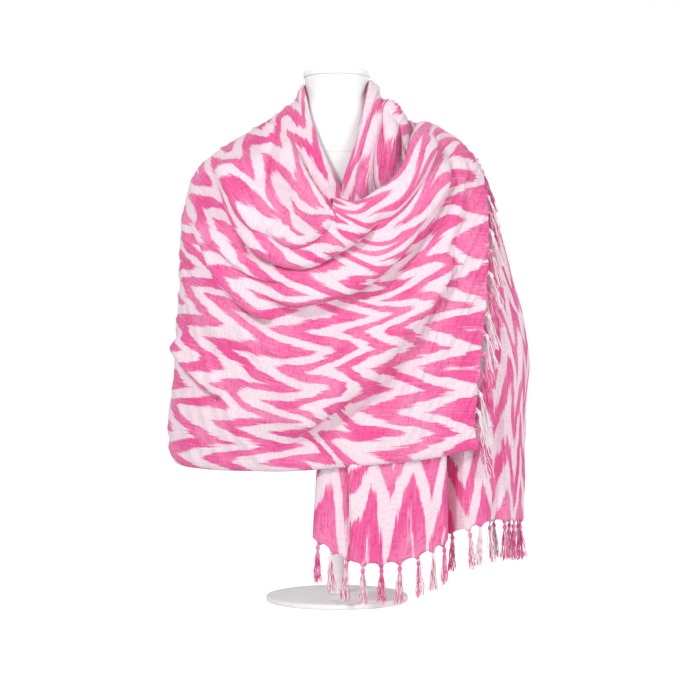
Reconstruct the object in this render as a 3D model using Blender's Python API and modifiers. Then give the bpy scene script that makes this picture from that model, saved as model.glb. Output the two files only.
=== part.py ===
"""Ikat shawl wrapped round a limbless dress form that stands on a short stand.

Metres, +Z up. The origin is on the form's axis, on the floor under the stand. The wearer's
front looks along -Y, and +X is at the right of somebody who looks at that front.

The shawl is one rectangle of cloth. Its first end, the tail, hangs down the front right. From
there it runs up over the right shoulder, round the back and over the left shoulder, and then
across the front as the wrap, whose fringed end is thrown over the right shoulder.
"""

import math
from typing import NamedTuple

import bmesh
import bpy
import numpy as np
from mathutils import Quaternion, Vector

CLOTH_WALL = 0.002
SEAM_GAP = 0.0009  # between the walls of two stretches of the one cloth
SEAM_BORDER = 0.010
HEM_GAP = 0.0003
END_GAP = 0.0005
SHOULDER_GAP = 0.0015  # wider, because the cloth's end turns as it comes over the shoulder
SLOPE_STEP = 1e-4  # how far apart two points are taken to find a slope

PLEATS = 5  # soft pleats across the cloth where it is gathered on the shoulder
PLEAT_DRIFTS = ((0.12, 9.0), (0.05, 31.0))  # turns that the pleats drift by, and how fast
CREASE_FADE = 0.03  # metres behind which the front's creases have died out

TASSEL_LENGTH = 0.065
FRINGE_STRIP = 0.004  # the woven edge that the tassels are knotted to
STRIP_END = 0.004  # share of the width that a strip stays short of a selvedge
NECK_LENGTH = 0.002
KNOT_LENGTH = 0.0095
LOCK_SPREAD = 0.0032
# Half a tassel's size along the edge and out from the cloth, from its neck down.
NECK_HALF = (0.0022, 0.0012)
KNOT_HALF = (0.0046, 0.0040)
KNOT_FOOT_HALF = (0.0042, 0.0034)
LOCK_TIP_HALF = (0.0011, 0.0011)
# Half the foot of a tassel on its strip, as a share of the width.
TAIL_FOOT = 0.0045
END_FOOT = 0.0040
# How far a hanging tassel sways along X and Y, and how that changes from one to the next.
SWAYS = ((0.05, 2.3), (0.04, 1.7))
END_ONWARD = 0.42  # how far a tassel on the wrap's end leans on past the end, by its drop
END_OUTWARD = 0.34
EDGE_STEP = 0.006  # share of the width between points that give an edge's direction
FLOOR_CLEARANCE = 0.013

NECK_RADIUS = 0.0545
CAP_RADIUS = 0.0568
CAP_HEIGHT = 0.010
CAP_ROUND = 0.002
FORM_TOP = 0.894
FORM_BOTTOM = 0.340
FORM_FOOT_INSET = 0.008
FORM_SEGMENTS = 24

POLE_RADIUS = 0.0125
SOCKET_RADIUS = 0.020
SOCKET_HEIGHT = 0.030
BASE_RADIUS = 0.120
BASE_HEIGHT = 0.010
BASE_ROUND = 0.003
SEAT_GAP = 0.0003
SHARP_ANGLE = 50

PINK = (0.86, 0.13, 0.37, 1.0)
FRINGE_PINK = (0.93, 0.42, 0.60, 1.0)
FORM_WHITE = (0.90, 0.90, 0.90, 1.0)
STAND_WHITE = (0.82, 0.82, 0.83, 1.0)


class Ring(NamedTuple):
    """A ring that the cloth lies on, depth metres down the cloth from the neck edge.

    left, right, front and back are its half widths. Its height is given at the same four
    places, and vee is the power that its front rises with towards the sides.
    """

    depth: float
    left: float
    right: float
    front: float
    back: float
    z_left: float
    z_right: float
    z_front: float
    z_back: float
    vee: float


RINGS = (
    Ring(0.000, 0.060, 0.058, 0.098, 0.060, 0.874, 0.880, 0.663, 0.868, 1.12),
    Ring(0.030, 0.067, 0.067, 0.112, 0.074, 0.848, 0.855, 0.652, 0.845, 1.30),
    Ring(0.075, 0.102, 0.100, 0.124, 0.094, 0.819, 0.825, 0.638, 0.808, 1.50),
    Ring(0.135, 0.152, 0.150, 0.131, 0.110, 0.788, 0.787, 0.615, 0.758, 1.60),
    Ring(0.200, 0.205, 0.200, 0.134, 0.121, 0.755, 0.750, 0.585, 0.700, 1.70),
    Ring(0.245, 0.236, 0.225, 0.134, 0.126, 0.725, 0.722, 0.560, 0.660, 1.80),
    Ring(0.300, 0.2555, 0.252, 0.133, 0.130, 0.667, 0.667, 0.527, 0.609, 1.90),
    Ring(0.420, 0.2635, 0.293, 0.131, 0.132, 0.545, 0.545, 0.448, 0.497, 2.00),
    Ring(0.550, 0.2705, 0.319, 0.130, 0.132, 0.420, 0.420, 0.355, 0.376, 2.00),
    Ring(0.670, 0.282, 0.314, 0.130, 0.131, 0.300, 0.300, 0.268, 0.272, 2.00),
    Ring(0.720, 0.282, 0.3135, 0.130, 0.131, 0.250, 0.250, 0.232, 0.235, 2.00),
    Ring(0.840, 0.280, 0.309, 0.128, 0.130, 0.130, 0.130, 0.085, 0.120, 2.00),
)


class Station(NamedTuple):
    """A line across the cloth, along metres from the tail's end.

    The four columns are points at equal steps from the top selvedge to the bottom one, each an
    angle in degrees from the front towards +X and a depth. lift is how far the cloth lies
    above the rings, where it covers another layer, and gather is the height of its pleats.
    """

    along: float
    top: tuple
    upper: tuple
    lower: tuple
    bottom: tuple
    lift: float
    gather: float


STATIONS = (
    Station(0.000, (-8, 0.810), (36, 0.838), (82, 0.838), (128, 0.838), 0.0, 0.002),
    Station(0.155, (-6, 0.680), (36, 0.690), (80, 0.690), (124, 0.690), 0.0, 0.002),
    Station(0.350, (-3, 0.420), (37, 0.470), (78, 0.500), (118, 0.520), 0.0, 0.002),
    Station(0.500, (2, 0.210), (39, 0.300), (76, 0.370), (113, 0.400), 0.0, 0.003),
    Station(0.620, (8, 0.000), (45, 0.140), (79, 0.240), (110, 0.305), 0.0, 0.005),
    Station(0.680, (22, 0.000), (58, 0.100), (83, 0.190), (108, 0.255), 0.0, 0.006),
    Station(0.730, (45, 0.000), (72, 0.090), (88, 0.170), (107, 0.235), 0.0, 0.006),
    Station(0.770, (70, 0.000), (84, 0.085), (94, 0.160), (108, 0.225), 0.0, 0.006),
    Station(0.800, (92, 0.000), (98, 0.080), (103, 0.155), (110, 0.220), 0.0, 0.006),
    Station(0.840, (112, 0.000), (116, 0.090), (119, 0.180), (122, 0.265), 0.0, 0.007),
    Station(0.900, (135, 0.000), (138, 0.115), (141, 0.235), (144, 0.360), 0.0, 0.007),
    Station(0.965, (160, 0.000), (163, 0.150), (166, 0.310), (169, 0.470), 0.0, 0.012),
    Station(1.030, (185, 0.000), (188, 0.190), (191, 0.380), (194, 0.570), 0.0, 0.012),
    Station(1.090, (210, 0.000), (213, 0.220), (215, 0.440), (218, 0.655), 0.0, 0.008),
    Station(1.150, (238, 0.000), (239, 0.240), (240, 0.475), (241, 0.710), 0.0, 0.004),
    Station(1.200, (264, 0.000), (264, 0.240), (264, 0.480), (264, 0.720), 0.0, 0.001),
    Station(1.250, (285, 0.000), (286, 0.245), (286, 0.490), (287, 0.735), 0.001, 0.001),
    Station(1.310, (305, 0.000), (307, 0.245), (309, 0.490), (311, 0.735), 0.003, 0.001),
    Station(1.370, (325, 0.000), (327, 0.245), (329, 0.490), (330, 0.730), 0.008, 0.001),
    Station(1.420, (343, 0.000), (344, 0.245), (345, 0.490), (346, 0.725), 0.016, 0.001),
    Station(1.455, (354, 0.004), (356, 0.245), (358, 0.485), (359, 0.718), 0.016, 0.001),
    Station(1.485, (363, 0.050), (365, 0.260), (368, 0.490), (369, 0.713), 0.016, 0.001),
    Station(1.515, (373, 0.100), (375, 0.290), (377, 0.500), (378, 0.710), 0.014, 0.001),
    Station(1.545, (386, 0.120), (386, 0.300), (386, 0.500), (386, 0.707), 0.014, 0.001),
    Station(1.590, (399, 0.130), (396, 0.295), (393, 0.480), (393, 0.704), 0.014, 0.002),
    Station(1.630, (418, 0.120), (407, 0.275), (399, 0.465), (397.5, 0.700), 0.016, 0.003),
    Station(1.670, (440, 0.118), (420, 0.260), (404, 0.452), (400.5, 0.698), 0.018, 0.003),
    Station(1.720, (460, 0.190), (433, 0.247), (408.5, 0.441), (403, 0.697), 0.020, 0.002),
    Station(1.760, (475, 0.310), (444, 0.238), (412, 0.430), (405.5, 0.700), 0.021, 0.001),
)


class Stretch(NamedTuple):
    """A stretch of the shawl that shows, between two seams, and its columns along the cloth."""

    name: str
    start: float
    end: float
    columns: int


TAIL = Stretch("tail_stretch", 0.0, 0.900, 20)
BACK = Stretch("back_stretch", 0.900, 1.150, 8)
WRAP = Stretch("wrap_stretch", 1.150, 1.760, 40)


class Crowd(NamedTuple):
    """Where rows lie closer, at a share of the width, over a width of shares."""

    share: float
    width: float
    gain: float


ROWS = 28
CROWDS = (Crowd(0.12, 0.10, 0.8), Crowd(0.333, 0.035, 2.6))


class Fold(NamedTuple):
    """A crease or swag, as a line of (x, z) points seen from the front.

    The cloth stands height above its ring on the line. It falls away within left on the left
    hand of somebody who follows the line, and within right on the right hand.
    """

    stretch: Stretch
    height: float
    left: float
    right: float
    line: tuple


FOLDS = (
    Fold(WRAP, 0.024, 0.013, 0.034, (
        (-0.098, 0.800), (-0.067, 0.712), (-0.037, 0.655), (-0.009, 0.629),
        (0.027, 0.648), (0.060, 0.676), (0.093, 0.711), (0.119, 0.760), (0.135, 0.805))),
    Fold(WRAP, 0.012, 0.014, 0.022, (
        (-0.106, 0.805), (-0.107, 0.762), (-0.115, 0.731), (-0.125, 0.680))),
    Fold(WRAP, 0.018, 0.034, 0.014, (
        (-0.176, 0.770), (-0.158, 0.665), (-0.120, 0.604), (-0.090, 0.584), (-0.050, 0.576),
        (-0.014, 0.592), (0.030, 0.618), (0.066, 0.650))),
    Fold(WRAP, 0.016, 0.034, 0.018, (
        (-0.222, 0.655), (-0.195, 0.594), (-0.173, 0.549), (-0.136, 0.509), (-0.085, 0.478))),
    Fold(WRAP, 0.023, 0.040, 0.014, (
        (-0.120, 0.526), (-0.078, 0.514), (-0.038, 0.520), (0.003, 0.533), (0.037, 0.548),
        (0.085, 0.594), (0.107, 0.628), (0.149, 0.690), (0.168, 0.750))),
    Fold(WRAP, 0.014, 0.028, 0.020, (
        (0.050, 0.630), (0.085, 0.662), (0.115, 0.705), (0.142, 0.765))),
    Fold(WRAP, 0.018, 0.044, 0.016, (
        (-0.092, 0.266), (-0.048, 0.318), (0.002, 0.355), (0.040, 0.386), (0.074, 0.432),
        (0.122, 0.498), (0.147, 0.536), (0.182, 0.605))),
    Fold(WRAP, 0.012, 0.030, 0.016, (
        (-0.270, 0.446), (-0.246, 0.414), (-0.216, 0.379), (-0.176, 0.352))),
    Fold(WRAP, 0.012, 0.022, 0.032, (
        (-0.240, 0.536), (-0.211, 0.502), (-0.170, 0.461), (-0.105, 0.425))),
    Fold(WRAP, 0.010, 0.030, 0.040, (
        (-0.200, 0.330), (-0.130, 0.300), (-0.060, 0.330), (0.010, 0.430), (0.070, 0.530))),
    Fold(WRAP, 0.012, 0.020, 0.034, (
        (0.060, 0.250), (0.110, 0.330), (0.160, 0.430), (0.198, 0.560))),
    Fold(TAIL, 0.006, 0.008, 0.030, (
        (0.036, 0.020), (0.034, 0.083), (0.029, 0.234), (0.020, 0.380))),
    Fold(TAIL, -0.044, 0.010, 0.010, (
        (0.190, -0.060), (0.189, 0.060), (0.186, 0.260), (0.178, 0.420), (0.168, 0.560))),
    Fold(TAIL, 0.006, 0.018, 0.022, (
        (0.110, 0.000), (0.108, 0.100), (0.098, 0.260), (0.100, 0.440))),
    Fold(TAIL, 0.005, 0.010, 0.012, (
        (0.236, 0.020), (0.236, 0.140), (0.232, 0.260), (0.225, 0.440), (0.205, 0.600))),
    Fold(TAIL, -0.012, 0.008, 0.008, (
        (0.262, 0.020), (0.262, 0.140), (0.266, 0.260), (0.262, 0.440), (0.235, 0.600))),
    Fold(TAIL, 0.008, 0.010, 0.014, (
        (0.036, 0.630), (0.043, 0.700), (0.055, 0.760), (0.066, 0.808), (0.066, 0.860))),
    Fold(TAIL, 0.008, 0.010, 0.014, (
        (0.086, 0.670), (0.086, 0.710), (0.080, 0.778), (0.078, 0.845))),
)
LINE_STEPS = 5  # short straight pieces to each step of a fold's line
FOLD_ENDS = 0.16  # the share of a fold's length over which it dies out at each end

# How far the tail's hem hangs below its first station, at shares of the width.
HEM_DROPS = ((0.0, 0.0), (0.06, 0.016), (0.13, 0.022), (0.20, 0.018), (0.27, 0.006),
             (0.34, -0.010), (0.42, -0.024), (0.52, -0.020), (0.68, -0.006), (1.0, 0.0))
HEM_REACH = 0.120  # metres of the tail that the drops are spread over

# Angles in degrees of the tassels along the tail's hem, and of the ends of their strips.
FRONT_TASSELS = (-5.3, -1.0, 3.8, 8.4, 14.0, 19.4, 25.2, 30.2, 34.0)
FRONT_STRIP_END = 35.6
SIDE_TASSELS = (40.5, 44.5, 49.0, 56.0, 64.5, 73.7, 84.0, 95.0, 107.0, 119.0)
SIDE_STRIP_START = 38.8
END_TASSELS = 24
UPPER_TASSELS = 10  # of the end tassels, those over the shoulder
END_SPLIT = 0.0015  # half the gap between the upper and lower strips, as a share of the width


class FormRing(NamedTuple):
    """A level ring of the dress form, at a height, with its half widths."""

    z: float
    side: float
    front: float
    back: float


FORM_RINGS = (
    FormRing(0.860, 0.0545, 0.0545, 0.0545),
    FormRing(0.842, 0.0590, 0.0560, 0.0570),
    FormRing(0.826, 0.0790, 0.0580, 0.0620),
    FormRing(0.808, 0.1120, 0.0610, 0.0650),
    FormRing(0.789, 0.1445, 0.0640, 0.0690),
    FormRing(0.769, 0.1770, 0.0680, 0.0740),
    FormRing(0.745, 0.2055, 0.0730, 0.0830),
    FormRing(0.718, 0.2230, 0.0790, 0.0930),
    FormRing(0.685, 0.2310, 0.0860, 0.1040),
    FormRing(0.645, 0.2200, 0.0930, 0.1040),
    FormRing(0.600, 0.1880, 0.0970, 0.1010),
    FormRing(0.550, 0.1650, 0.0940, 0.0960),
    FormRing(0.490, 0.1460, 0.0860, 0.0880),
    FormRing(0.430, 0.1400, 0.0820, 0.0850),
    FormRing(0.375, 0.1480, 0.0860, 0.0920),
    FormRing(0.348, 0.1500, 0.0870, 0.0940),
)


def smooth_rows(knots, rows, at):
    """Rows of a table, read at places on a smooth curve through its knots."""
    slopes = np.gradient(rows, knots, axis=0)
    first = np.clip(np.searchsorted(knots, at) - 1, 0, len(knots) - 2)
    span = (knots[first + 1] - knots[first])[:, None]
    share = (at - knots[first])[:, None] / span
    start = (1 + 2 * share) * (1 - share) ** 2 * rows[first]
    end = share**2 * (3 - 2 * share) * rows[first + 1]
    leave = share * (1 - share) ** 2 * span * slopes[first]
    arrive = share**2 * (share - 1) * span * slopes[first + 1]
    return start + end + leave + arrive


def smooth_step(value):
    """0 below 0, 1 above 1 and a soft slope between."""
    share = np.clip(value, 0.0, 1.0)
    return share * share * (3 - 2 * share)


def ring_point(angle, depth):
    """Points of the rings at angles in radians and depths in metres."""
    table = np.array(RINGS)
    ring = smooth_rows(table[:, 0], table[:, 1:], depth)
    left, right, front, back, z_left, z_right, z_front, z_back, vee = ring.T
    across, ahead = np.sin(angle), np.cos(angle)
    x = np.where(across > 0, right, left) * across
    y = -np.where(ahead > 0, front, back) * ahead
    z_side = np.where(across > 0, z_right, z_left)
    z_middle = np.where(ahead > 0, z_front, z_back)
    power = np.where(ahead > 0, vee, 2.0)
    z = z_middle + (z_side - z_middle) * np.abs(across) ** power
    return np.stack([x, y, z], axis=1)


def unit(vectors):
    """Vectors made one long."""
    return vectors / np.linalg.norm(vectors, axis=1, keepdims=True)


def ring_normal(angle, depth):
    """Outward directions square to the rings."""
    round_it = ring_point(angle + SLOPE_STEP, depth) - ring_point(angle - SLOPE_STEP, depth)
    down_it = ring_point(angle, depth + SLOPE_STEP) - ring_point(angle, depth - SLOPE_STEP)
    return unit(np.cross(down_it, round_it))


def beside_line(points, line):
    """The signed distance of (x, z) points from a line, and the share of its length there."""
    knots = np.arange(len(line), dtype=float)
    finer = np.linspace(0.0, knots[-1], LINE_STEPS * (len(line) - 1) + 1)
    line = smooth_rows(knots, np.array(line), finer)
    starts, steps = line[:-1], np.diff(line, axis=0)
    lengths = np.linalg.norm(steps, axis=1)
    away = points[:, None, :] - starts
    share = np.clip((away * steps).sum(axis=2) / lengths**2, 0.0, 1.0)
    offset = away - share[..., None] * steps
    distance = np.linalg.norm(offset, axis=2)
    nearest = distance.argmin(axis=1)
    row = np.arange(len(points))
    turn = steps[nearest, 1] * offset[row, nearest, 0] - steps[nearest, 0] * offset[row, nearest, 1]
    before = np.concatenate([[0.0], np.cumsum(lengths)])[nearest]
    place = (before + share[row, nearest] * lengths[nearest]) / lengths.sum()
    return np.sign(turn) * distance[row, nearest], place


def fold_height(stretch, points):
    """How far the creases of a stretch stand out at points of its rings."""
    height = np.zeros(len(points))
    in_front = smooth_step(-points[:, 1] / CREASE_FADE)
    for fold in FOLDS:
        if fold.stretch is not stretch:
            continue
        distance, place = beside_line(points[:, [0, 2]], fold.line)
        width = np.where(distance > 0, fold.right, fold.left)
        ends = smooth_step(place / FOLD_ENDS) * smooth_step((1 - place) / FOLD_ENDS)
        height += fold.height * ends * in_front * np.exp(-((distance / width) ** 2))
    return height


def hem_drop(along, across):
    """How far places near the tail's end are moved towards it, so that the hem dips."""
    shares, drops = np.array(HEM_DROPS).T
    knots = np.clip(across, 0.0, 1.0)
    return smooth_rows(shares, drops[:, None], knots)[:, 0] * smooth_step(1 - along / HEM_REACH)


def cloth_point(stretch, along, across):
    """Points of a stretch, and its outward directions there.

    along is in metres from the tail's end, and across is the share of the width, 0 at the top
    selvedge.
    """
    if stretch is TAIL:
        along = along - hem_drop(along, across)
    table = np.array([[s.along, *s.top, *s.upper, *s.lower, *s.bottom, s.lift, s.gather]
                      for s in STATIONS])
    row = smooth_rows(table[:, 0], table[:, 1:], along)
    places = np.arange(4) / 3
    weights = []
    for i, place in enumerate(places):
        others = np.delete(places, i)
        weights.append(np.prod([(across - other) / (place - other) for other in others], axis=0))
    angle = np.radians(sum(w * row[:, 2 * i] for i, w in enumerate(weights)))
    depth = sum(w * row[:, 2 * i + 1] for i, w in enumerate(weights))
    lift, gather = row[:, 8], row[:, 9]
    points, normals = ring_point(angle, depth), ring_normal(angle, depth)
    wander = sum(turns * np.sin(speed * along) for turns, speed in PLEAT_DRIFTS)
    pleat = gather * (1 - np.cos(2 * math.pi * (PLEATS * across + wander))) / 2
    out = lift + pleat + fold_height(stretch, points)
    return points + out[:, None] * normals, normals


def row_shares():
    """The shares of the width at which the rows of every stretch lie."""
    fine = np.linspace(0.0, 1.0, 400)
    density = np.ones(len(fine))
    for crowd in CROWDS:
        density += crowd.gain * np.exp(-(((fine - crowd.share) / crowd.width) ** 2))
    total = np.concatenate([[0.0], np.cumsum((density[1:] + density[:-1]) / 2)])
    return np.interp(np.linspace(0.0, total[-1], ROWS + 1), total, fine)


def column_places(stretch):
    """Metres along the cloth of a stretch's columns, with a narrow one beside each seam.

    The narrow column lies flat at the seam, so the walls of two stretches face each other.
    """
    even = list(np.linspace(stretch.start, stretch.end, stretch.columns + 1))
    if stretch.start > STATIONS[0].along:
        even.insert(1, stretch.start + SEAM_BORDER)
    if stretch.end < STATIONS[-1].along:
        even.insert(-1, stretch.end - SEAM_BORDER)
    return np.array(even)


def cloth_grid(stretch):
    """Rows by columns of points on a stretch, drawn back from its seams by half the gap."""
    places, shares = column_places(stretch), row_shares()
    along, across = (a.reshape(-1) for a in np.meshgrid(places, shares))
    points, _ = cloth_point(stretch, along, across)
    grid = points.reshape(len(shares), len(places), 3)
    for edge, place, inward in ((0, stretch.start, 1), (-1, stretch.end, -1)):
        if place in (STATIONS[0].along, STATIONS[-1].along):
            continue
        onward = [cloth_point(stretch, np.full(len(shares), place + way * SEAM_BORDER), shares)[0]
                  for way in (-1, 1)]
        grid[:, edge] += inward * unit(onward[1] - onward[0]) * SEAM_GAP / 2
    return grid


def material(name, colour, roughness, metallic=0.0):
    """A plain finish."""
    made = bpy.data.materials.new(name)
    made.use_nodes = True
    shader = made.node_tree.nodes["Principled BSDF"]
    shader.inputs["Base Color"].default_value = colour
    shader.inputs["Roughness"].default_value = roughness
    shader.inputs["Metallic"].default_value = metallic
    return made


def finish(name, mesh_data, look, collection):
    """An object of a mesh or bmesh in the collection, shaded smooth up to sharp edges."""
    if isinstance(mesh_data, bmesh.types.BMesh):
        mesh = bpy.data.meshes.new(name)
        mesh_data.to_mesh(mesh)
        mesh_data.free()
    else:
        mesh = mesh_data
    mesh.shade_smooth()
    mesh.set_sharp_from_angle(angle=math.radians(SHARP_ANGLE))
    mesh.materials.append(look)
    made = bpy.data.objects.new(name, mesh)
    collection.objects.link(made)
    return made


def add_cloth(stretch, look, collection):
    """One stretch of cloth: a grid laid on the rings, given its wall inwards."""
    grid = cloth_grid(stretch)
    rows, columns = grid.shape[:2]
    bm = bmesh.new()
    bmesh.ops.create_grid(bm, x_segments=columns - 1, y_segments=rows - 1, size=0.5)
    for vert, point in zip(bm.verts, grid.reshape(-1, 3)):
        vert.co = point
    made = finish(stretch.name, bm, look, collection)
    wall = made.modifiers.new("wall", "SOLIDIFY")
    wall.thickness = CLOTH_WALL
    wall.offset = -1.0


class Root(NamedTuple):
    """Where a tassel hangs from an edge of the cloth.

    edge is the cloth's own edge point, on is the way on past the edge, side is along the edge
    and out is square to the cloth.
    """

    edge: Vector
    on: Vector
    side: Vector
    out: Vector


def edge_roots(stretch, along, shares, onward):
    """Roots on the straight steps of an end of the cloth, onward is -1 at the tail's end."""
    shares, rows = np.array(shares, float), row_shares()
    edge, _ = cloth_point(stretch, np.full(len(rows), along), rows)
    before, points, after = (
        np.stack([np.interp(shares + way * EDGE_STEP, rows, edge[:, i]) for i in range(3)], axis=1)
        for way in (-1, 0, 1)
    )
    _, normals = cloth_point(stretch, np.full(len(shares), along), shares)
    sides = unit(after - before)
    ons = onward * unit(np.cross(normals, sides))
    outs = onward * np.cross(sides, ons)
    return [Root(*map(Vector, row)) for row in zip(points, ons, sides, outs)]


def grow(bm, face, centre, side, out, half):
    """Extrudes a face on to a rectangle of half sizes along side and out, and returns its end."""
    end = bmesh.ops.extrude_discrete_faces(bm, faces=[face])["faces"][0]
    middle = end.calc_center_median()
    for vert in end.verts:
        away = vert.co - middle
        vert.co = (
            centre
            + side * math.copysign(half[0], away.dot(side))
            + out * math.copysign(half[1], away.dot(out))
        )
    return end


class Tassel(NamedTuple):
    """A tassel's root, the way that it hangs and its length."""

    root: Root
    hang: Vector
    length: float


def add_tassel(bm, face, tassel):
    """A neck, a knot and four loose locks, grown from a face of the fringe's strip."""
    root, hang = tassel.root, tassel.hang.normalized()
    turn = root.on.rotation_difference(hang)
    halfway = Quaternion().slerp(turn, 0.5)
    side, out = turn @ root.side, turn @ root.out
    neck = face.calc_center_median() + (root.on + hang).normalized() * NECK_LENGTH
    end = grow(bm, face, neck, halfway @ root.side, halfway @ root.out, NECK_HALF)
    end = grow(bm, end, neck + hang * KNOT_LENGTH / 2, side, out, KNOT_HALF)
    head = neck + hang * KNOT_LENGTH
    end = grow(bm, end, head, side, out, KNOT_FOOT_HALF)
    split = bmesh.ops.subdivide_edges(bm, edges=end.edges[:], cuts=1, use_grid_fill=True)
    centre = next(
        v for v in split["geom_inner"]
        if isinstance(v, bmesh.types.BMVert) and len(v.link_faces) == 4
    )
    for lock in list(centre.link_faces):
        away = lock.calc_center_median() - head
        lean = side * math.copysign(LOCK_SPREAD, away.dot(side))
        lean += out * math.copysign(LOCK_SPREAD, away.dot(out))
        tip = head + hang * (tassel.length - NECK_LENGTH - KNOT_LENGTH) + lean
        grow(bm, lock, tip, side, out, LOCK_TIP_HALF)


def add_fringe(name, gap, roots, tassels, look, collection):
    """A narrow strip past the cloth's edge, and the tassels that are knotted to it.

    The strip has a step at each of roots, two of them at each tassel's foot.
    """
    bm = bmesh.new()
    bmesh.ops.create_grid(bm, x_segments=len(roots) - 1, y_segments=1, size=0.5)
    bm.verts.ensure_lookup_table()
    reach = (gap, gap + FRINGE_STRIP)
    for row, past in enumerate(reach):
        for column, root in enumerate(roots):
            bm.verts[row * len(roots) + column].co = root.edge + root.on * past
    bmesh.ops.recalc_face_normals(bm, faces=bm.faces[:])
    if sum(f.normal.dot(roots[0].out) for f in bm.faces[:1]) < 0:
        bmesh.ops.reverse_faces(bm, faces=bm.faces[:])
    bmesh.ops.solidify(bm, geom=bm.faces[:], thickness=CLOTH_WALL)
    bmesh.ops.recalc_face_normals(bm, faces=bm.faces[:])
    for tassel in tassels:
        root = tassel.root
        foot = root.edge + root.on * reach[1] - root.out * CLOTH_WALL / 2
        face = min(bm.faces, key=lambda f: (f.calc_center_median() - foot).length)
        add_tassel(bm, face, tassel)
    bmesh.ops.recalc_face_normals(bm, faces=bm.faces[:])
    finish(name, bm, look, collection)


def strip_shares(centres, half, low, high):
    """The shares along a strip: its ends, both sides of each tassel and the cloth's rows."""
    feet = [centre + way * half for centre in centres for way in (-1, 1)]
    rows = [r for r in row_shares() if low < r < high and np.abs(centres - r).min() > 2 * half]
    return sorted([low, *feet, *rows, high])


def hem_shares(angles):
    """The shares of the width at which angles lie on the tail's hem."""
    fine = np.linspace(0.0, 1.0, 300)
    hem = STATIONS[0]
    turned = np.interp(fine, np.arange(4) / 3, [p[0] for p in hem[1:5]])
    return np.interp(angles, turned, fine)


def tail_fringe(name, angles, low, high, look, collection):
    """Tassels that hang straight down from part of the tail's hem."""
    centres = hem_shares(angles)
    roots = edge_roots(TAIL, TAIL.start, strip_shares(centres, TAIL_FOOT, low, high), -1)
    clear = FLOOR_CLEARANCE + FRINGE_STRIP + NECK_LENGTH
    tassels = []
    for index, root in enumerate(edge_roots(TAIL, TAIL.start, centres, -1)):
        (far_x, turn_x), (far_y, turn_y) = SWAYS
        hang = Vector((far_x * math.sin(turn_x * index), far_y * math.cos(turn_y * index), -1.0))
        tassels.append(Tassel(root, hang, min(TASSEL_LENGTH, root.edge.z - clear)))
    add_fringe(name, HEM_GAP, roots, tassels, look, collection)


def end_fringe(name, gap, centres, low, high, look, collection):
    """Tassels on part of the wrap's end, which fall down and away from it over the tail."""
    roots = edge_roots(WRAP, WRAP.end, strip_shares(centres, END_FOOT, low, high), 1)
    tassels = []
    for root in edge_roots(WRAP, WRAP.end, centres, 1):
        outward = Vector((root.out.x, root.out.y, max(root.out.z, 0.0)))
        hang = root.on * END_ONWARD + outward * END_OUTWARD + Vector((0.0, 0.0, -1.0))
        tassels.append(Tassel(root, hang, TASSEL_LENGTH))
    add_fringe(name, gap, roots, tassels, look, collection)


def lay_loop(verts, ring):
    """Moves a loop of verts to a form ring."""
    for index, vert in enumerate(verts):
        angle = 2 * math.pi * index / FORM_SEGMENTS
        depth = ring.front if math.cos(angle) > 0 else ring.back
        vert.co = (ring.side * math.sin(angle), -depth * math.cos(angle), ring.z)


def add_torso(look, collection):
    """The form's neck, shoulders and trunk, lofted down through level rings."""
    top = FormRing(FORM_TOP - CAP_HEIGHT - SEAT_GAP, NECK_RADIUS, NECK_RADIUS, NECK_RADIUS)
    last = FORM_RINGS[-1]
    foot = FormRing(FORM_BOTTOM, *(half - FORM_FOOT_INSET for half in last[1:]))
    bm = bmesh.new()
    circle = bmesh.ops.create_circle(bm, segments=FORM_SEGMENTS, radius=1.0)["verts"]
    bmesh.ops.edgeloop_fill(bm, edges=bm.edges[:])
    verts = list(circle)
    edges = [bm.edges.get((verts[i - 1], verts[i])) for i in range(len(verts))]
    lay_loop(verts, top)
    for ring in (*FORM_RINGS, foot):
        made = bmesh.ops.extrude_edge_only(bm, edges=edges)["geom"]
        new = {g for g in made if isinstance(g, bmesh.types.BMVert)}
        verts = [next(e.other_vert(v) for e in v.link_edges if e.other_vert(v) in new)
                 for v in verts]
        edges = [bm.edges.get((verts[i - 1], verts[i])) for i in range(len(verts))]
        lay_loop(verts, ring)
    bmesh.ops.edgeloop_fill(bm, edges=edges)
    bmesh.ops.recalc_face_normals(bm, faces=bm.faces[:])
    finish("form_torso", bm, look, collection)


def add_turned(name, profile, segments, look, collection):
    """A solid of revolution round the Z axis, from (radius, height) points, top to bottom."""
    bm = bmesh.new()
    verts = [bm.verts.new((radius, 0.0, z)) for radius, z in profile]
    for first, second in zip(verts, verts[1:]):
        bm.edges.new((first, second))
    made = finish(name, bm, look, collection)
    screw = made.modifiers.new("turn", "SCREW")
    screw.steps = screw.render_steps = segments
    screw.use_merge_vertices = True
    screw.merge_threshold = 0.00005


def rounded_disc(radius, low, high, corner):
    """The profile of a disc with rounded edges, top to bottom."""
    turns = [math.radians(a) for a in (90, 45, 0)]
    top = [(radius - corner + corner * math.cos(a), high - corner + corner * math.sin(a))
           for a in turns]
    bottom = [(r, low + high - z) for r, z in reversed(top)]
    return [(0.0, high), *top, *bottom, (0.0, low)]


def add_stand(look, collection):
    """The base disc, the pole and the socket under the form that the pole stands in."""
    add_turned("stand_base", rounded_disc(BASE_RADIUS, 0.0, BASE_HEIGHT, BASE_ROUND), 32, look,
               collection)
    pole_top = FORM_BOTTOM - SEAT_GAP
    pole_foot = BASE_HEIGHT + SEAT_GAP
    pole = [(0.0, pole_top), (POLE_RADIUS, pole_top), (POLE_RADIUS, pole_foot), (0.0, pole_foot)]
    add_turned("stand_pole", pole, 24, look, collection)
    inner = POLE_RADIUS + SEAT_GAP
    high, low = pole_top, pole_top - SOCKET_HEIGHT
    socket = [(inner, high), (SOCKET_RADIUS, high), (SOCKET_RADIUS, low), (inner, low),
              (inner, high)]
    add_turned("stand_socket", socket, 24, look, collection)


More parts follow.
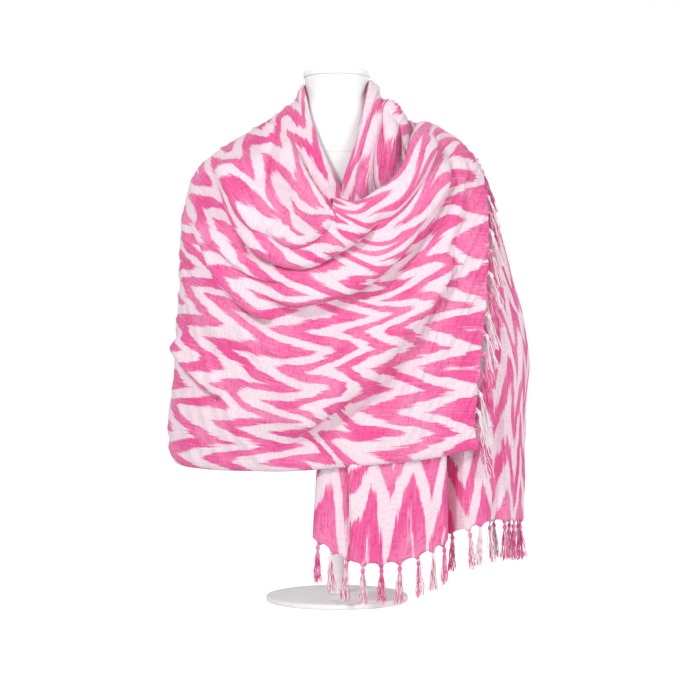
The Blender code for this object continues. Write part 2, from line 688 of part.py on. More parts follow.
def build():
    """Clears the scene and models the shawl, the form and the stand."""
    for old in list(bpy.data.objects):
        bpy.data.objects.remove(old, do_unlink=True)
    shawl = bpy.data.collections.new("shawl_on_form")
    bpy.context.scene.collection.children.link(shawl)

    cloth = material("ikat_cloth", PINK, 0.85)
    yarn = material("fringe_yarn", FRINGE_PINK, 0.90)
    plastic = material("form_white", FORM_WHITE, 0.35)
    painted = material("stand_white", STAND_WHITE, 0.40)

    for stretch in (TAIL, BACK, WRAP):
        add_cloth(stretch, cloth, shawl)
    front_end, side_start = hem_shares((FRONT_STRIP_END, SIDE_STRIP_START))
    tail_fringe("fringe_tail_front", FRONT_TASSELS, STRIP_END, front_end, yarn, shawl)
    tail_fringe("fringe_tail_side", SIDE_TASSELS, side_start, 1 - STRIP_END, yarn, shawl)
    centres = (np.arange(END_TASSELS) + 0.5) / END_TASSELS
    split = UPPER_TASSELS / END_TASSELS
    end_fringe("fringe_wrap_upper", SHOULDER_GAP, centres[:UPPER_TASSELS], STRIP_END,
               split - END_SPLIT, yarn, shawl)
    end_fringe("fringe_wrap_lower", END_GAP, centres[UPPER_TASSELS:], split + END_SPLIT,
               1 - STRIP_END, yarn, shawl)
    add_torso(plastic, shawl)
    cap = rounded_disc(CAP_RADIUS, FORM_TOP - CAP_HEIGHT, FORM_TOP, CAP_ROUND)
    add_turned("form_neck_cap", cap, FORM_SEGMENTS, plastic, shawl)
    add_stand(painted, shawl)


build()
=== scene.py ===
"""The looks of an ikat shawl that is wrapped round a limbless dress form on a short stand.

Metres, +Z up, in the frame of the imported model. The camera stands at -Y and +X is at its
right. The cloth is laid on the same rings, stations and folds as the solids, with finer
creases, rolled selvedges and scalloped ends. Its pattern is in the materials, on a UV map
that is in metres of cloth: U along the shawl from the tail's end, V across it from the
selvedge at the neck.
"""

import logging
import math
from collections.abc import Sequence
from dataclasses import dataclass
from enum import Enum
from typing import NamedTuple

import bmesh
import bpy
import numpy as np
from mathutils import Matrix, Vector


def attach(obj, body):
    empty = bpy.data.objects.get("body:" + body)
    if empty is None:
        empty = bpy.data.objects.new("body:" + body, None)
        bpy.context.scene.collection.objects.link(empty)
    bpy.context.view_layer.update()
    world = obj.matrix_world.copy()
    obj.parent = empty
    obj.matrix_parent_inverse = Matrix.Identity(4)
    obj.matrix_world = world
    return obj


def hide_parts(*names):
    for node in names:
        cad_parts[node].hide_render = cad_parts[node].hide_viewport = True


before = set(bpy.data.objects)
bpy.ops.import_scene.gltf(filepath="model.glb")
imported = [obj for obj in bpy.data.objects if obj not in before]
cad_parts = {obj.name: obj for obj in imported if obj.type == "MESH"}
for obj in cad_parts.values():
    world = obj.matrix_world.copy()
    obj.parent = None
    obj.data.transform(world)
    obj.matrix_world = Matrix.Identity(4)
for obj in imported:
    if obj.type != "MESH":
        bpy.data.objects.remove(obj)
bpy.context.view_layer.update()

LOG = logging.getLogger("shawl")
BODY = "root"
UV_MAP = "cloth"
SLOPE_STEP = 1e-4  # how far apart two points are taken to find a slope
SIDE_STEP = 0.006  # the same for a tassel's side direction, as a share of the width
HEM_STRIP = 0.0045  # how far past the cloth's last station the knots hang
YARN_PITCH = 0.0011  # metres between lengthwise yarns
PICK_PITCH = 0.0013  # metres between crosswise yarns

Array = np.ndarray
Socket = bpy.types.NodeSocket


class Ring(NamedTuple):
    """A ring that the cloth lies on, with its half widths and its height at four places."""

    depth: float
    left: float
    right: float
    front: float
    back: float
    z_left: float
    z_right: float
    z_front: float
    z_back: float
    vee: float


RINGS = (
    Ring(0.000, 0.060, 0.058, 0.098, 0.060, 0.874, 0.880, 0.663, 0.868, 1.12),
    Ring(0.030, 0.067, 0.067, 0.112, 0.074, 0.848, 0.855, 0.652, 0.845, 1.30),
    Ring(0.075, 0.102, 0.100, 0.124, 0.094, 0.819, 0.825, 0.638, 0.808, 1.50),
    Ring(0.135, 0.152, 0.150, 0.131, 0.110, 0.788, 0.787, 0.615, 0.758, 1.60),
    Ring(0.200, 0.205, 0.200, 0.134, 0.121, 0.755, 0.750, 0.585, 0.700, 1.70),
    Ring(0.245, 0.236, 0.225, 0.134, 0.126, 0.725, 0.722, 0.560, 0.660, 1.80),
    Ring(0.300, 0.2555, 0.252, 0.133, 0.130, 0.667, 0.667, 0.527, 0.609, 1.90),
    Ring(0.420, 0.2635, 0.293, 0.131, 0.132, 0.545, 0.545, 0.448, 0.497, 2.00),
    Ring(0.550, 0.2705, 0.319, 0.130, 0.132, 0.420, 0.420, 0.355, 0.376, 2.00),
    Ring(0.670, 0.282, 0.314, 0.130, 0.131, 0.300, 0.300, 0.268, 0.272, 2.00),
    Ring(0.720, 0.282, 0.3135, 0.130, 0.131, 0.250, 0.250, 0.232, 0.235, 2.00),
    Ring(0.840, 0.280, 0.309, 0.128, 0.130, 0.130, 0.130, 0.085, 0.120, 2.00),
)


class Station(NamedTuple):
    """A line across the cloth, as four points at equal steps from selvedge to selvedge."""

    along: float
    top: tuple[float, float]
    upper: tuple[float, float]
    lower: tuple[float, float]
    bottom: tuple[float, float]
    lift: float
    gather: float


STATIONS = (
    Station(0.000, (-8, 0.810), (36, 0.838), (82, 0.838), (128, 0.838), 0.0, 0.002),
    Station(0.155, (-6, 0.680), (36, 0.690), (80, 0.690), (124, 0.690), 0.0, 0.002),
    Station(0.350, (-3, 0.420), (37, 0.470), (78, 0.500), (118, 0.520), 0.0, 0.002),
    Station(0.500, (2, 0.210), (39, 0.300), (76, 0.370), (113, 0.400), 0.0, 0.003),
    Station(0.620, (8, 0.000), (45, 0.140), (79, 0.240), (110, 0.305), 0.0, 0.005),
    Station(0.680, (22, 0.000), (58, 0.100), (83, 0.190), (108, 0.255), 0.0, 0.006),
    Station(0.730, (45, 0.000), (72, 0.090), (88, 0.170), (107, 0.235), 0.0, 0.006),
    Station(0.770, (70, 0.000), (84, 0.085), (94, 0.160), (108, 0.225), 0.0, 0.006),
    Station(0.800, (92, 0.000), (98, 0.080), (103, 0.155), (110, 0.220), 0.0, 0.006),
    Station(0.840, (112, 0.000), (116, 0.090), (119, 0.180), (122, 0.265), 0.0, 0.007),
    Station(0.900, (135, 0.000), (138, 0.115), (141, 0.235), (144, 0.360), 0.0, 0.007),
    Station(0.965, (160, 0.000), (163, 0.150), (166, 0.310), (169, 0.470), 0.0, 0.012),
    Station(1.030, (185, 0.000), (188, 0.190), (191, 0.380), (194, 0.570), 0.0, 0.012),
    Station(1.090, (210, 0.000), (213, 0.220), (215, 0.440), (218, 0.655), 0.0, 0.008),
    Station(1.150, (238, 0.000), (239, 0.240), (240, 0.475), (241, 0.710), 0.0, 0.004),
    Station(1.200, (264, 0.000), (264, 0.240), (264, 0.480), (264, 0.720), 0.0, 0.001),
    Station(1.250, (285, 0.000), (286, 0.245), (286, 0.490), (287, 0.735), 0.001, 0.001),
    Station(1.310, (305, 0.000), (307, 0.245), (309, 0.490), (311, 0.735), 0.003, 0.001),
    Station(1.370, (325, 0.000), (327, 0.245), (329, 0.490), (330, 0.730), 0.008, 0.001),
    Station(1.420, (343, 0.000), (344, 0.245), (345, 0.490), (346, 0.725), 0.016, 0.001),
    Station(1.455, (354, 0.004), (356, 0.245), (358, 0.485), (359, 0.718), 0.016, 0.001),
    Station(1.485, (363, 0.050), (365, 0.260), (368, 0.490), (369, 0.713), 0.016, 0.001),
    Station(1.515, (373, 0.100), (375, 0.290), (377, 0.500), (378, 0.710), 0.014, 0.001),
    Station(1.545, (386, 0.120), (386, 0.300), (386, 0.500), (386, 0.707), 0.014, 0.001),
    Station(1.590, (399, 0.130), (396, 0.295), (393, 0.480), (393, 0.704), 0.014, 0.002),
    Station(1.630, (418, 0.120), (407, 0.275), (399, 0.465), (397.5, 0.700), 0.016, 0.003),
    Station(1.670, (440, 0.118), (420, 0.260), (404, 0.452), (400.5, 0.698), 0.018, 0.003),
    Station(1.720, (460, 0.190), (433, 0.247), (408.5, 0.441), (403, 0.697), 0.020, 0.002),
    Station(1.760, (475, 0.310), (444, 0.238), (412, 0.430), (405.5, 0.700), 0.021, 0.001),
)


class Stretch(Enum):
    """The three stretches of the shawl: node name, and where each starts and ends."""

    TAIL = ("tail_stretch", 0.0, 0.900)
    BACK = ("back_stretch", 0.900, 1.150)
    WRAP = ("wrap_stretch", 1.150, 1.760)

    @property
    def node(self) -> str:
        """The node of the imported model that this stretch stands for."""
        return self.value[0]

    @property
    def start(self) -> float:
        """Where the stretch starts, along the stations."""
        return self.value[1]

    @property
    def end(self) -> float:
        """Where the stretch ends, along the stations."""
        return self.value[2]

    @property
    def fringed_end(self) -> float:
        """The end that tassels hang from: the tail's start or the wrap's end."""
        return self.start if self is Stretch.TAIL else self.end

    @property
    def onward(self) -> int:
        """The way along the stations that leads off the fringed end."""
        return -1 if self is Stretch.TAIL else 1


class Fold(NamedTuple):
    """A crease or swag, as a line of (x, z) points seen from the front.

    The cloth stands height above its ring on the line. It falls away within left on the left
    hand of somebody who follows the line, and within right on the right hand. The narrower
    side is the steep one, and the crest leans over it by lean.
    """

    height: float
    left: float
    right: float
    lean: float
    line: tuple[tuple[float, float], ...]


WRAP_FOLDS = (
    Fold(0.025, 0.008, 0.034, 0.010, (
        (-0.098, 0.800), (-0.067, 0.712), (-0.037, 0.655), (-0.009, 0.629),
        (0.027, 0.648), (0.060, 0.676), (0.093, 0.711), (0.119, 0.760), (0.135, 0.805))),
    Fold(0.013, 0.007, 0.022, 0.006, (
        (-0.106, 0.805), (-0.107, 0.762), (-0.115, 0.731), (-0.125, 0.680))),
    Fold(0.014, 0.022, 0.006, 0.011, (
        (-0.166, 0.735), (-0.156, 0.690), (-0.136, 0.645), (-0.105, 0.612))),
    Fold(0.021, 0.034, 0.008, 0.017, (
        (-0.176, 0.770), (-0.158, 0.665), (-0.120, 0.604), (-0.090, 0.584),
        (-0.050, 0.576), (-0.014, 0.592), (0.030, 0.618), (0.066, 0.650))),
    Fold(0.010, 0.018, 0.005, 0.007, (
        (-0.105, 0.628), (-0.087, 0.608), (-0.061, 0.596), (-0.036, 0.606), (-0.008, 0.628))),
    Fold(0.018, 0.034, 0.009, 0.014, (
        (-0.222, 0.655), (-0.195, 0.594), (-0.173, 0.549), (-0.136, 0.509),
        (-0.085, 0.478))),
    Fold(0.009, 0.020, 0.006, 0.006, (
        (-0.205, 0.625), (-0.165, 0.580), (-0.121, 0.550), (-0.070, 0.540))),
    Fold(0.027, 0.040, 0.007, 0.019, (
        (-0.120, 0.526), (-0.078, 0.514), (-0.038, 0.520), (0.003, 0.533),
        (0.037, 0.548), (0.085, 0.594), (0.107, 0.628), (0.149, 0.690), (0.168, 0.750))),
    Fold(0.014, 0.028, 0.010, 0.010, (
        (0.050, 0.630), (0.085, 0.662), (0.115, 0.705), (0.142, 0.765))),
    Fold(0.022, 0.044, 0.007, 0.019, (
        (-0.092, 0.266), (-0.048, 0.318), (0.002, 0.355), (0.040, 0.386),
        (0.074, 0.432), (0.122, 0.498), (0.147, 0.536), (0.182, 0.605))),
    Fold(0.013, 0.030, 0.008, 0.008, (
        (-0.270, 0.446), (-0.246, 0.414), (-0.216, 0.379), (-0.176, 0.352))),
    Fold(0.012, 0.016, 0.032, 0.006, (
        (-0.240, 0.536), (-0.211, 0.502), (-0.170, 0.461), (-0.105, 0.425))),
    Fold(0.010, 0.030, 0.040, 0.0, (
        (-0.200, 0.330), (-0.130, 0.300), (-0.060, 0.330), (0.010, 0.430),
        (0.070, 0.530))),
    Fold(0.012, 0.014, 0.034, 0.005, (
        (0.060, 0.250), (0.110, 0.330), (0.160, 0.430), (0.198, 0.560))),
    Fold(0.006, 0.016, 0.005, 0.005, (
        (0.095, 0.300), (0.130, 0.385), (0.160, 0.480), (0.170, 0.560))),
    Fold(0.006, 0.014, 0.005, 0.005, (
        (0.150, 0.560), (0.176, 0.620), (0.190, 0.690), (0.192, 0.745))),
)

TAIL_FOLDS = (
    Fold(0.011, 0.005, 0.030, 0.008, (
        (0.036, -0.040), (0.034, 0.083), (0.029, 0.234), (0.020, 0.400))),
    Fold(-0.046, 0.010, 0.010, 0.0, (
        (0.198, -0.060), (0.197, 0.060), (0.193, 0.260), (0.182, 0.420),
        (0.168, 0.560))),
    Fold(0.006, 0.018, 0.022, 0.0, (
        (0.110, 0.000), (0.108, 0.100), (0.098, 0.260), (0.100, 0.440))),
    Fold(0.005, 0.010, 0.012, 0.0, (
        (0.236, 0.020), (0.236, 0.140), (0.232, 0.260), (0.225, 0.440),
        (0.205, 0.600))),
    Fold(-0.012, 0.008, 0.008, 0.0, (
        (0.262, 0.020), (0.262, 0.140), (0.266, 0.260), (0.262, 0.440),
        (0.235, 0.600))),
    Fold(0.009, 0.005, 0.014, 0.006, (
        (0.036, 0.630), (0.043, 0.700), (0.055, 0.760), (0.066, 0.808), (0.066, 0.860))),
    Fold(0.009, 0.005, 0.014, 0.006, (
        (0.091, 0.700), (0.088, 0.740), (0.084, 0.789), (0.078, 0.845))),
    Fold(0.007, 0.004, 0.012, 0.005, (
        (0.118, 0.750), (0.106, 0.789), (0.088, 0.815), (0.072, 0.840))),
)

FOLDS = {Stretch.TAIL: TAIL_FOLDS, Stretch.BACK: (), Stretch.WRAP: WRAP_FOLDS}

# The (x, z) line from which the wrap's end hangs straight down, with its yarns level.
PANEL_LINE = (
    (-0.092, 0.266), (-0.048, 0.318), (0.002, 0.355), (0.040, 0.386), (0.074, 0.432),
    (0.122, 0.498), (0.147, 0.536), (0.182, 0.605), (0.192, 0.680), (0.194, 0.760),
)

# How far the tail's hem hangs below its first station, at shares of the width.
HEM_DROPS = (
    (0.0, 0.0), (0.06, 0.016), (0.13, 0.022), (0.20, 0.018), (0.27, 0.006),
    (0.34, -0.010), (0.42, -0.024), (0.52, -0.020), (0.68, -0.006), (1.0, 0.0),
)
HEM_REACH = 0.120  # metres of the tail that the drops are spread over

# Angles in degrees of the tassels along the tail's hem, as the solids have them.
FRONT_TASSELS = (-5.3, -1.0, 3.8, 8.4, 14.0, 19.4, 25.2, 30.2, 34.0)
SIDE_TASSELS = (40.5, 44.5, 49.0, 56.0, 64.5, 73.7, 84.0, 95.0, 107.0, 119.0)

# Shares of the width of the tassels at the wrap's end. The first of them are over the shoulder.
END_SHARES = (np.arange(24) + 0.5) / 24
UPPER_TASSELS = 10


def smooth_rows(knots: Array, rows: Array, at: Array) -> Array:
    """Reads rows of a table at places on a smooth curve through its knots.

    Args:
        knots: Rising places of the table's rows.
        rows: One row of values for each knot.
        at: Places to read.

    Returns:
        One row of values for each place.
    """
    slopes = np.gradient(rows, knots, axis=0)
    first = np.clip(np.searchsorted(knots, at) - 1, 0, len(knots) - 2)
    span = (knots[first + 1] - knots[first])[:, None]
    share = (at - knots[first])[:, None] / span
    start = (1 + 2 * share) * (1 - share) ** 2 * rows[first]
    end = share**2 * (3 - 2 * share) * rows[first + 1]
    leave = share * (1 - share) ** 2 * span * slopes[first]
    arrive = share**2 * (share - 1) * span * slopes[first + 1]
    return start + end + leave + arrive


def smooth_step(value: Array) -> Array:
    """0 below 0, 1 above 1 and a soft slope between."""
    share = np.clip(value, 0.0, 1.0)
    return share * share * (3 - 2 * share)


def unit(vectors: Array) -> Array:
    """Vectors made one long."""
    return vectors / np.linalg.norm(vectors, axis=1, keepdims=True)


class SoftNoise:
    """A seeded value noise over two coordinates, from 0 to 1."""

    SIZE = 64

    def __init__(self, seed: int) -> None:
        """Draws the lattice of values."""
        self.lattice = np.random.default_rng(seed).random((self.SIZE, self.SIZE))

    def at(self, x: Array, y: Array) -> Array:
        """Reads the noise.

        Args:
            x: First coordinates, in lattice steps.
            y: Second coordinates, in lattice steps.

        Returns:
            Values from 0 to 1.
        """
        column, row = np.floor(x).astype(int), np.floor(y).astype(int)
        across, down = smooth_step(x - column), smooth_step(y - row)
        corner = [
            self.lattice[(column + i) % self.SIZE, (row + j) % self.SIZE]
            for i, j in ((0, 0), (1, 0), (0, 1), (1, 1))
        ]
        near = corner[0] * (1 - across) + corner[1] * across
        far = corner[2] * (1 - across) + corner[3] * across
        return near * (1 - down) + far * down

    def ridge(self, x: Array, y: Array) -> Array:
        """The noise as soft crests, from 0 to 1, with narrow tops."""
        return (1 - np.abs(2 * self.at(x, y) - 1)) ** 3


class Laid(NamedTuple):
    """Points of the cloth, the directions square to the rings there, and the hidden cloth.

    The hidden cloth is what the creases swallow, as metres along and across at each point.
    """

    points: Array
    normals: Array
    hidden: Array


@dataclass
class Drape:
    """The surface of the whole shawl, as a function of places on the cloth.

    Attributes:
        width: The shawl's width from selvedge to selvedge.
        pleats: Soft pleats across the cloth where it is gathered.
        line_steps: Short straight pieces to each step of a fold's line.
        fold_ends: The share of a fold's length over which it dies out at each end.
        roll: How much of the width next to a selvedge is rolled inwards.
        roll_depth: How far the selvedge itself is rolled in.
        crinkle: The height of the small creases that follow the swags.
        pocket: How deep the cloth dips beside a crest's steep side, as a share of its height.
        tuck: Metres of cloth that a crease swallows for each metre of its height.
        tuck_reach: How far from a crease the pattern is moved by the swallowed cloth.
    """

    width: float = 0.70
    pleats: int = 5
    line_steps: int = 5
    fold_ends: float = 0.16
    roll: float = 0.012
    roll_depth: float = 0.0045
    crinkle: float = 0.0056
    pocket: float = 0.24
    tuck: float = 1.7
    tuck_reach: float = 0.08

    def __post_init__(self) -> None:
        """Keeps the tables as arrays."""
        self.rings = np.array(RINGS)
        self.stations = np.array(
            [[s.along, *s.top, *s.upper, *s.lower, *s.bottom, s.lift, s.gather] for s in STATIONS]
        )
        self.noise = SoftNoise(7)
        shares = np.linspace(0.0, 1.0, 60)
        widths = []
        for station in STATIONS:
            spots, _ = self.place(np.full(len(shares), station.along), shares)
            line = self.ring_point(*spots.T)
            widths.append(np.linalg.norm(np.diff(line, axis=0), axis=1).sum())
        self.spread = np.clip(np.array(widths) / self.width, 0.0, 1.0)

    def ring_point(self, angle: Array, depth: Array) -> Array:
        """Points of the rings at angles in radians and depths in metres."""
        ring = smooth_rows(self.rings[:, 0], self.rings[:, 1:], depth)
        left, right, front, back, z_left, z_right, z_front, z_back, vee = ring.T
        across, ahead = np.sin(angle), np.cos(angle)
        x = np.where(across > 0, right, left) * across
        y = -np.where(ahead > 0, front, back) * ahead
        z_side = np.where(across > 0, z_right, z_left)
        z_middle = np.where(ahead > 0, z_front, z_back)
        power = np.where(ahead > 0, vee, 2.0)
        z = z_middle + (z_side - z_middle) * np.abs(across) ** power
        return np.stack([x, y, z], axis=1)

    def ring_normal(self, angle: Array, depth: Array) -> Array:
        """Outward directions square to the rings."""
        step = SLOPE_STEP
        round_it = self.ring_point(angle + step, depth) - self.ring_point(angle - step, depth)
        down_it = self.ring_point(angle, depth + step) - self.ring_point(angle, depth - step)
        return unit(np.cross(down_it, round_it))

    def beside_line(self, points: Array, line: Sequence) -> tuple[Array, Array, Array]:
        """Finds where points lie beside a fold's line.

        Args:
            points: (x, z) points.
            line: The (x, z) points of the line.

        Returns:
            The signed distance of each point, the share of the line's length there, and the
            direction to the line's left hand there.
        """
        knots = np.arange(len(line), dtype=float)
        finer = np.linspace(0.0, knots[-1], self.line_steps * (len(line) - 1) + 1)
        smooth = smooth_rows(knots, np.array(line), finer)
        starts, steps = smooth[:-1], np.diff(smooth, axis=0)
        lengths = np.linalg.norm(steps, axis=1)
        away = points[:, None, :] - starts
        share = np.clip((away * steps).sum(axis=2) / lengths**2, 0.0, 1.0)
        offset = away - share[..., None] * steps
        distance = np.linalg.norm(offset, axis=2)
        near = distance.argmin(axis=1)
        row = np.arange(len(points))
        turn = steps[near, 1] * offset[row, near, 0] - steps[near, 0] * offset[row, near, 1]
        before = np.concatenate([[0.0], np.cumsum(lengths)])[near]
        place = (before + share[row, near] * lengths[near]) / lengths.sum()
        away, side = distance[row, near], np.sign(turn)
        left = np.stack([-steps[near, 1], steps[near, 0]], axis=1) / lengths[near, None]
        clear = away > 1e-6
        left[clear] = (-side[:, None] * offset[row, near])[clear] / away[clear, None]
        return side * away, place, left

    def fold_moves(self, stretch: Stretch, points: Array) -> tuple[Array, Array, Array]:
        """How the main creases of a stretch move its points.

        Args:
            stretch: The stretch of cloth.
            points: Points of its rings.

        Returns:
            How far each point stands out, how it moves sideways, and the cloth that is
            swallowed there, along and across.
        """
        height = np.zeros(len(points))
        sideways = np.zeros((len(points), 3))
        hidden = np.zeros((len(points), 2))
        in_front = smooth_step(-points[:, 1] / 0.03)
        for fold in FOLDS[stretch]:
            distance, place, left = self.beside_line(points[:, [0, 2]], fold.line)
            steep, narrow = (-1, fold.left) if fold.left < fold.right else (1, fold.right)
            width = np.where(distance > 0, fold.right, fold.left)
            ends = smooth_step(place / self.fold_ends) * smooth_step((1 - place) / self.fold_ends)
            strength = ends * in_front
            height += fold.height * strength * np.exp(-((distance / width) ** 2))
            down = steep * distance
            if fold.lean:
                dip = np.exp(-(((down - 2.0 * narrow) / (1.1 * narrow)) ** 2))
                height -= self.pocket * fold.height * strength * dip
            over = np.exp(-(((down - narrow / 2) / narrow) ** 2))
            moved = (-steep * fold.lean * strength * over)[:, None] * left
            sideways[:, 0] += moved[:, 0]
            sideways[:, 2] += moved[:, 1]
            away = np.tanh(distance / narrow) * np.exp(-np.abs(distance) / self.tuck_reach)
            swallowed = 0.5 * self.tuck * abs(fold.height) * strength * away
            hidden += swallowed[:, None] * left * (-1, 1)
        return height, sideways, hidden

    def small_creases(self, stretch: Stretch, points: Array, along: Array, across: Array) -> Array:
        """The height of the small creases, which follow the swags on the wrap."""
        metres = across * self.width
        long = self.noise.ridge(along / 0.20 + 3.0, metres / 0.021)
        fine = self.noise.ridge(along / 0.11 + 9.0, metres / 0.009 + 5.0)
        plain = self.crinkle * (0.55 * long + 0.25 * fine)
        if stretch is not Stretch.WRAP:
            return plain
        off = points[:, 0] + 0.06
        swag = points[:, 2] - np.where(off > 0, 4.2, 9.0) * off**2
        long = self.noise.ridge(off / 0.16 + 3.0, swag / 0.030)
        fine = self.noise.ridge(off / 0.07 + 11.0, swag / 0.012 + 5.0)
        where = self.noise.at(along / 0.12, metres / 0.10)
        in_front = smooth_step(-points[:, 1] / 0.07)
        swags = self.crinkle * (0.75 * long + 0.35 * fine * where)
        return plain * (1 - in_front) + swags * in_front

    def place(self, along: Array, across: Array) -> tuple[Array, Array]:
        """Finds places on the cloth on the rings.

        Args:
            along: Places along the stations.
            across: Shares of the width.

        Returns:
            Their angles and depths, and their lift and gather.
        """
        row = smooth_rows(self.stations[:, 0], self.stations[:, 1:], along)
        places = np.arange(4) / 3
        weights = []
        for i, at in enumerate(places):
            others = np.delete(places, i)
            weights.append(np.prod([(across - other) / (at - other) for other in others], axis=0))
        angle = np.radians(sum(w * row[:, 2 * i] for i, w in enumerate(weights)))
        depth = sum(w * row[:, 2 * i + 1] for i, w in enumerate(weights))
        return np.stack([angle, depth], axis=1), row[:, 8:]

    def pleat_turns(self, along: Array, across: Array) -> Array:
        """Which pleat a place lies in, as a number that is whole in the valleys."""
        wander = 0.12 * np.sin(9 * along) + 0.05 * np.sin(31 * along)
        return self.pleats * across + wander

    def pleat_hides(self, along: Array, turns: Array, gather: Array) -> Array:
        """Metres of cloth across that the valleys of the pleats swallow, evened out between."""
        beside = turns - np.round(turns)
        jump = 0.5 * np.tanh(beside / 0.03) - beside
        spread = np.interp(along, self.stations[:, 0], self.spread)
        bunched = smooth_step((gather - 0.002) / 0.003)
        return bunched * (1 - spread) * self.width / self.pleats * jump

    def hem_drop(self, along: Array, across: Array) -> Array:
        """How far places near the tail's end are moved towards it, so that the hem dips."""
        shares, drops = np.array(HEM_DROPS).T
        knots = np.clip(across, 0.0, 1.0)
        drop = smooth_rows(shares, drops[:, None], knots)[:, 0]
        return drop * smooth_step(1 - along / HEM_REACH)

    def point(self, stretch: Stretch, along: Array, across: Array, fine: bool = True) -> Laid:
        """Points of a stretch of cloth.

        Args:
            stretch: The stretch of cloth.
            along: Places along the stations.
            across: Shares of the width, 0 at the selvedge by the neck.
            fine: Whether small creases, leaning crests and rolled selvedges are added.

        Returns:
            The laid points.
        """
        if stretch is Stretch.TAIL:
            along = along - self.hem_drop(along, across)
        spots, extra = self.place(along, across)
        (angle, depth), (lift, gather) = spots.T, extra.T
        points, normals = self.ring_point(angle, depth), self.ring_normal(angle, depth)
        turns = self.pleat_turns(along, across)
        pleat = gather * (1 - np.cos(2 * math.pi * turns)) / 2
        height, sideways, hidden = self.fold_moves(stretch, points)
        hidden[:, 1] += self.pleat_hides(along, turns, gather)
        out = lift + pleat + height
        if fine:
            edge = np.minimum(across, 1 - across) * self.width
            rolled = np.clip(1 - edge / self.roll, 0.0, 1.0) ** 2
            calm = smooth_step(edge / (2 * self.roll))
            out += calm * self.small_creases(stretch, points, along, across)
            out -= self.roll_depth * rolled
            points = points + sideways
        return Laid(points + out[:, None] * normals, normals, hidden)

    def hem_shares(self, angles: Sequence[float]) -> Array:
        """The shares of the width at which angles lie on the tail's hem."""
        fine = np.linspace(0.0, 1.0, 300)
        hem = STATIONS[0]
        turned = np.interp(fine, np.arange(4) / 3, [p[0] for p in hem[1:5]])
        return np.interp(angles, turned, fine)


class Root(NamedTuple):
    """Where a tassel hangs from an end of the cloth, with the directions there."""

    edge: Vector
    on: Vector
    side: Vector
    out: Vector


@dataclass
class Graph:
    """A short way to write a node tree.

    Attributes:
        tree: The node tree that the nodes go in.
    """

    tree: bpy.types.NodeTree

    def node(self, kind: str, **settings: object) -> bpy.types.Node:
        """Adds a node with its settings."""
        made = self.tree.nodes.new(kind)
        for name, value in settings.items():
            setattr(made, name, value)
        return made

    def set(self, socket: Socket, value: object) -> None:
        """Links a socket to an output, or gives it a plain value."""
        if isinstance(value, bpy.types.NodeSocket):
            self.tree.links.new(value, socket)
        else:
            socket.default_value = value

    def math(self, operation: str, *values: object) -> Socket:
        """Adds a Math node on sockets or numbers, and returns its output."""
        made = self.node("ShaderNodeMath", operation=operation)
        for socket, value in zip(made.inputs, values):
            self.set(socket, value)
        return made.outputs[0]

    def ramp(self, value: object, low: float, high: float, start: float = 0.0,
             end: float = 1.0) -> Socket:
        """Maps a value between two limits on to another span, with a soft slope."""
        made = self.node("ShaderNodeMapRange", interpolation_type="SMOOTHSTEP")
        for name, given in (("Value", value), ("From Min", low), ("From Max", high),
                            ("To Min", start), ("To Max", end)):
            self.set(made.inputs[name], given)
        return made.outputs["Result"]

    def mix(self, factor: object, first: object, second: object) -> Socket:
        """Mixes two colours."""
        made = self.node("ShaderNodeMix", data_type="RGBA")
        self.set(made.inputs["Factor"], factor)
        self.set(made.inputs[6], first)
        self.set(made.inputs[7], second)
        return made.outputs[2]

    def times(self, value: object, by: object) -> Socket:
        """Multiplies two values."""
        return self.math("MULTIPLY", value, by)

    def add(self, first: object, *others: object) -> Socket:
        """Adds values up in order."""
        for other in others:
            first = self.math("ADD", first, other)
        return first

    def noise(self, spot: tuple[Socket, Socket], scales: tuple[float, float],
              detail: float = 1.0) -> Socket:
        """A noise on two coordinates, each of them times its scale."""
        vector = self.node("ShaderNodeCombineXYZ")
        for socket, value, scale in zip(vector.inputs, spot, scales):
            self.set(socket, self.times(value, scale))
        made = self.node("ShaderNodeTexNoise", noise_dimensions="2D")
        self.set(made.inputs["Vector"], vector.outputs[0])
        made.inputs["Scale"].default_value = 1.0
        made.inputs["Detail"].default_value = detail
        return made.outputs[0]

    def wander(self, spot: tuple[Socket, Socket], scales: tuple[float, float],
               reach: float) -> Socket:
        """A noise that lies round 0, times its reach."""
        return self.times(self.math("SUBTRACT", self.noise(spot, scales), 0.5), reach)


def new_group(name: str, inputs: Sequence[tuple[str, float]],
              outputs: Sequence[str]) -> tuple[Graph, dict[str, Socket], bpy.types.Node]:
    """Starts a shader node group.

    Args:
        name: The group's name.
        inputs: Names and values of its number inputs.
        outputs: Names of its number outputs.

    Returns:
        The group's graph, its inputs by name, and the node that takes its outputs.
    """
    tree = bpy.data.node_groups.new(name, "ShaderNodeTree")
    for label, value in inputs:
        made = tree.interface.new_socket(label, in_out="INPUT", socket_type="NodeSocketFloat")
        made.default_value = value
    for label in outputs:
        tree.interface.new_socket(label, in_out="OUTPUT", socket_type="NodeSocketFloat")
    graph = Graph(tree)
    given = graph.node("NodeGroupInput")
    taken = graph.node("NodeGroupOutput")
    return graph, {label: given.outputs[label] for label, _ in inputs}, taken


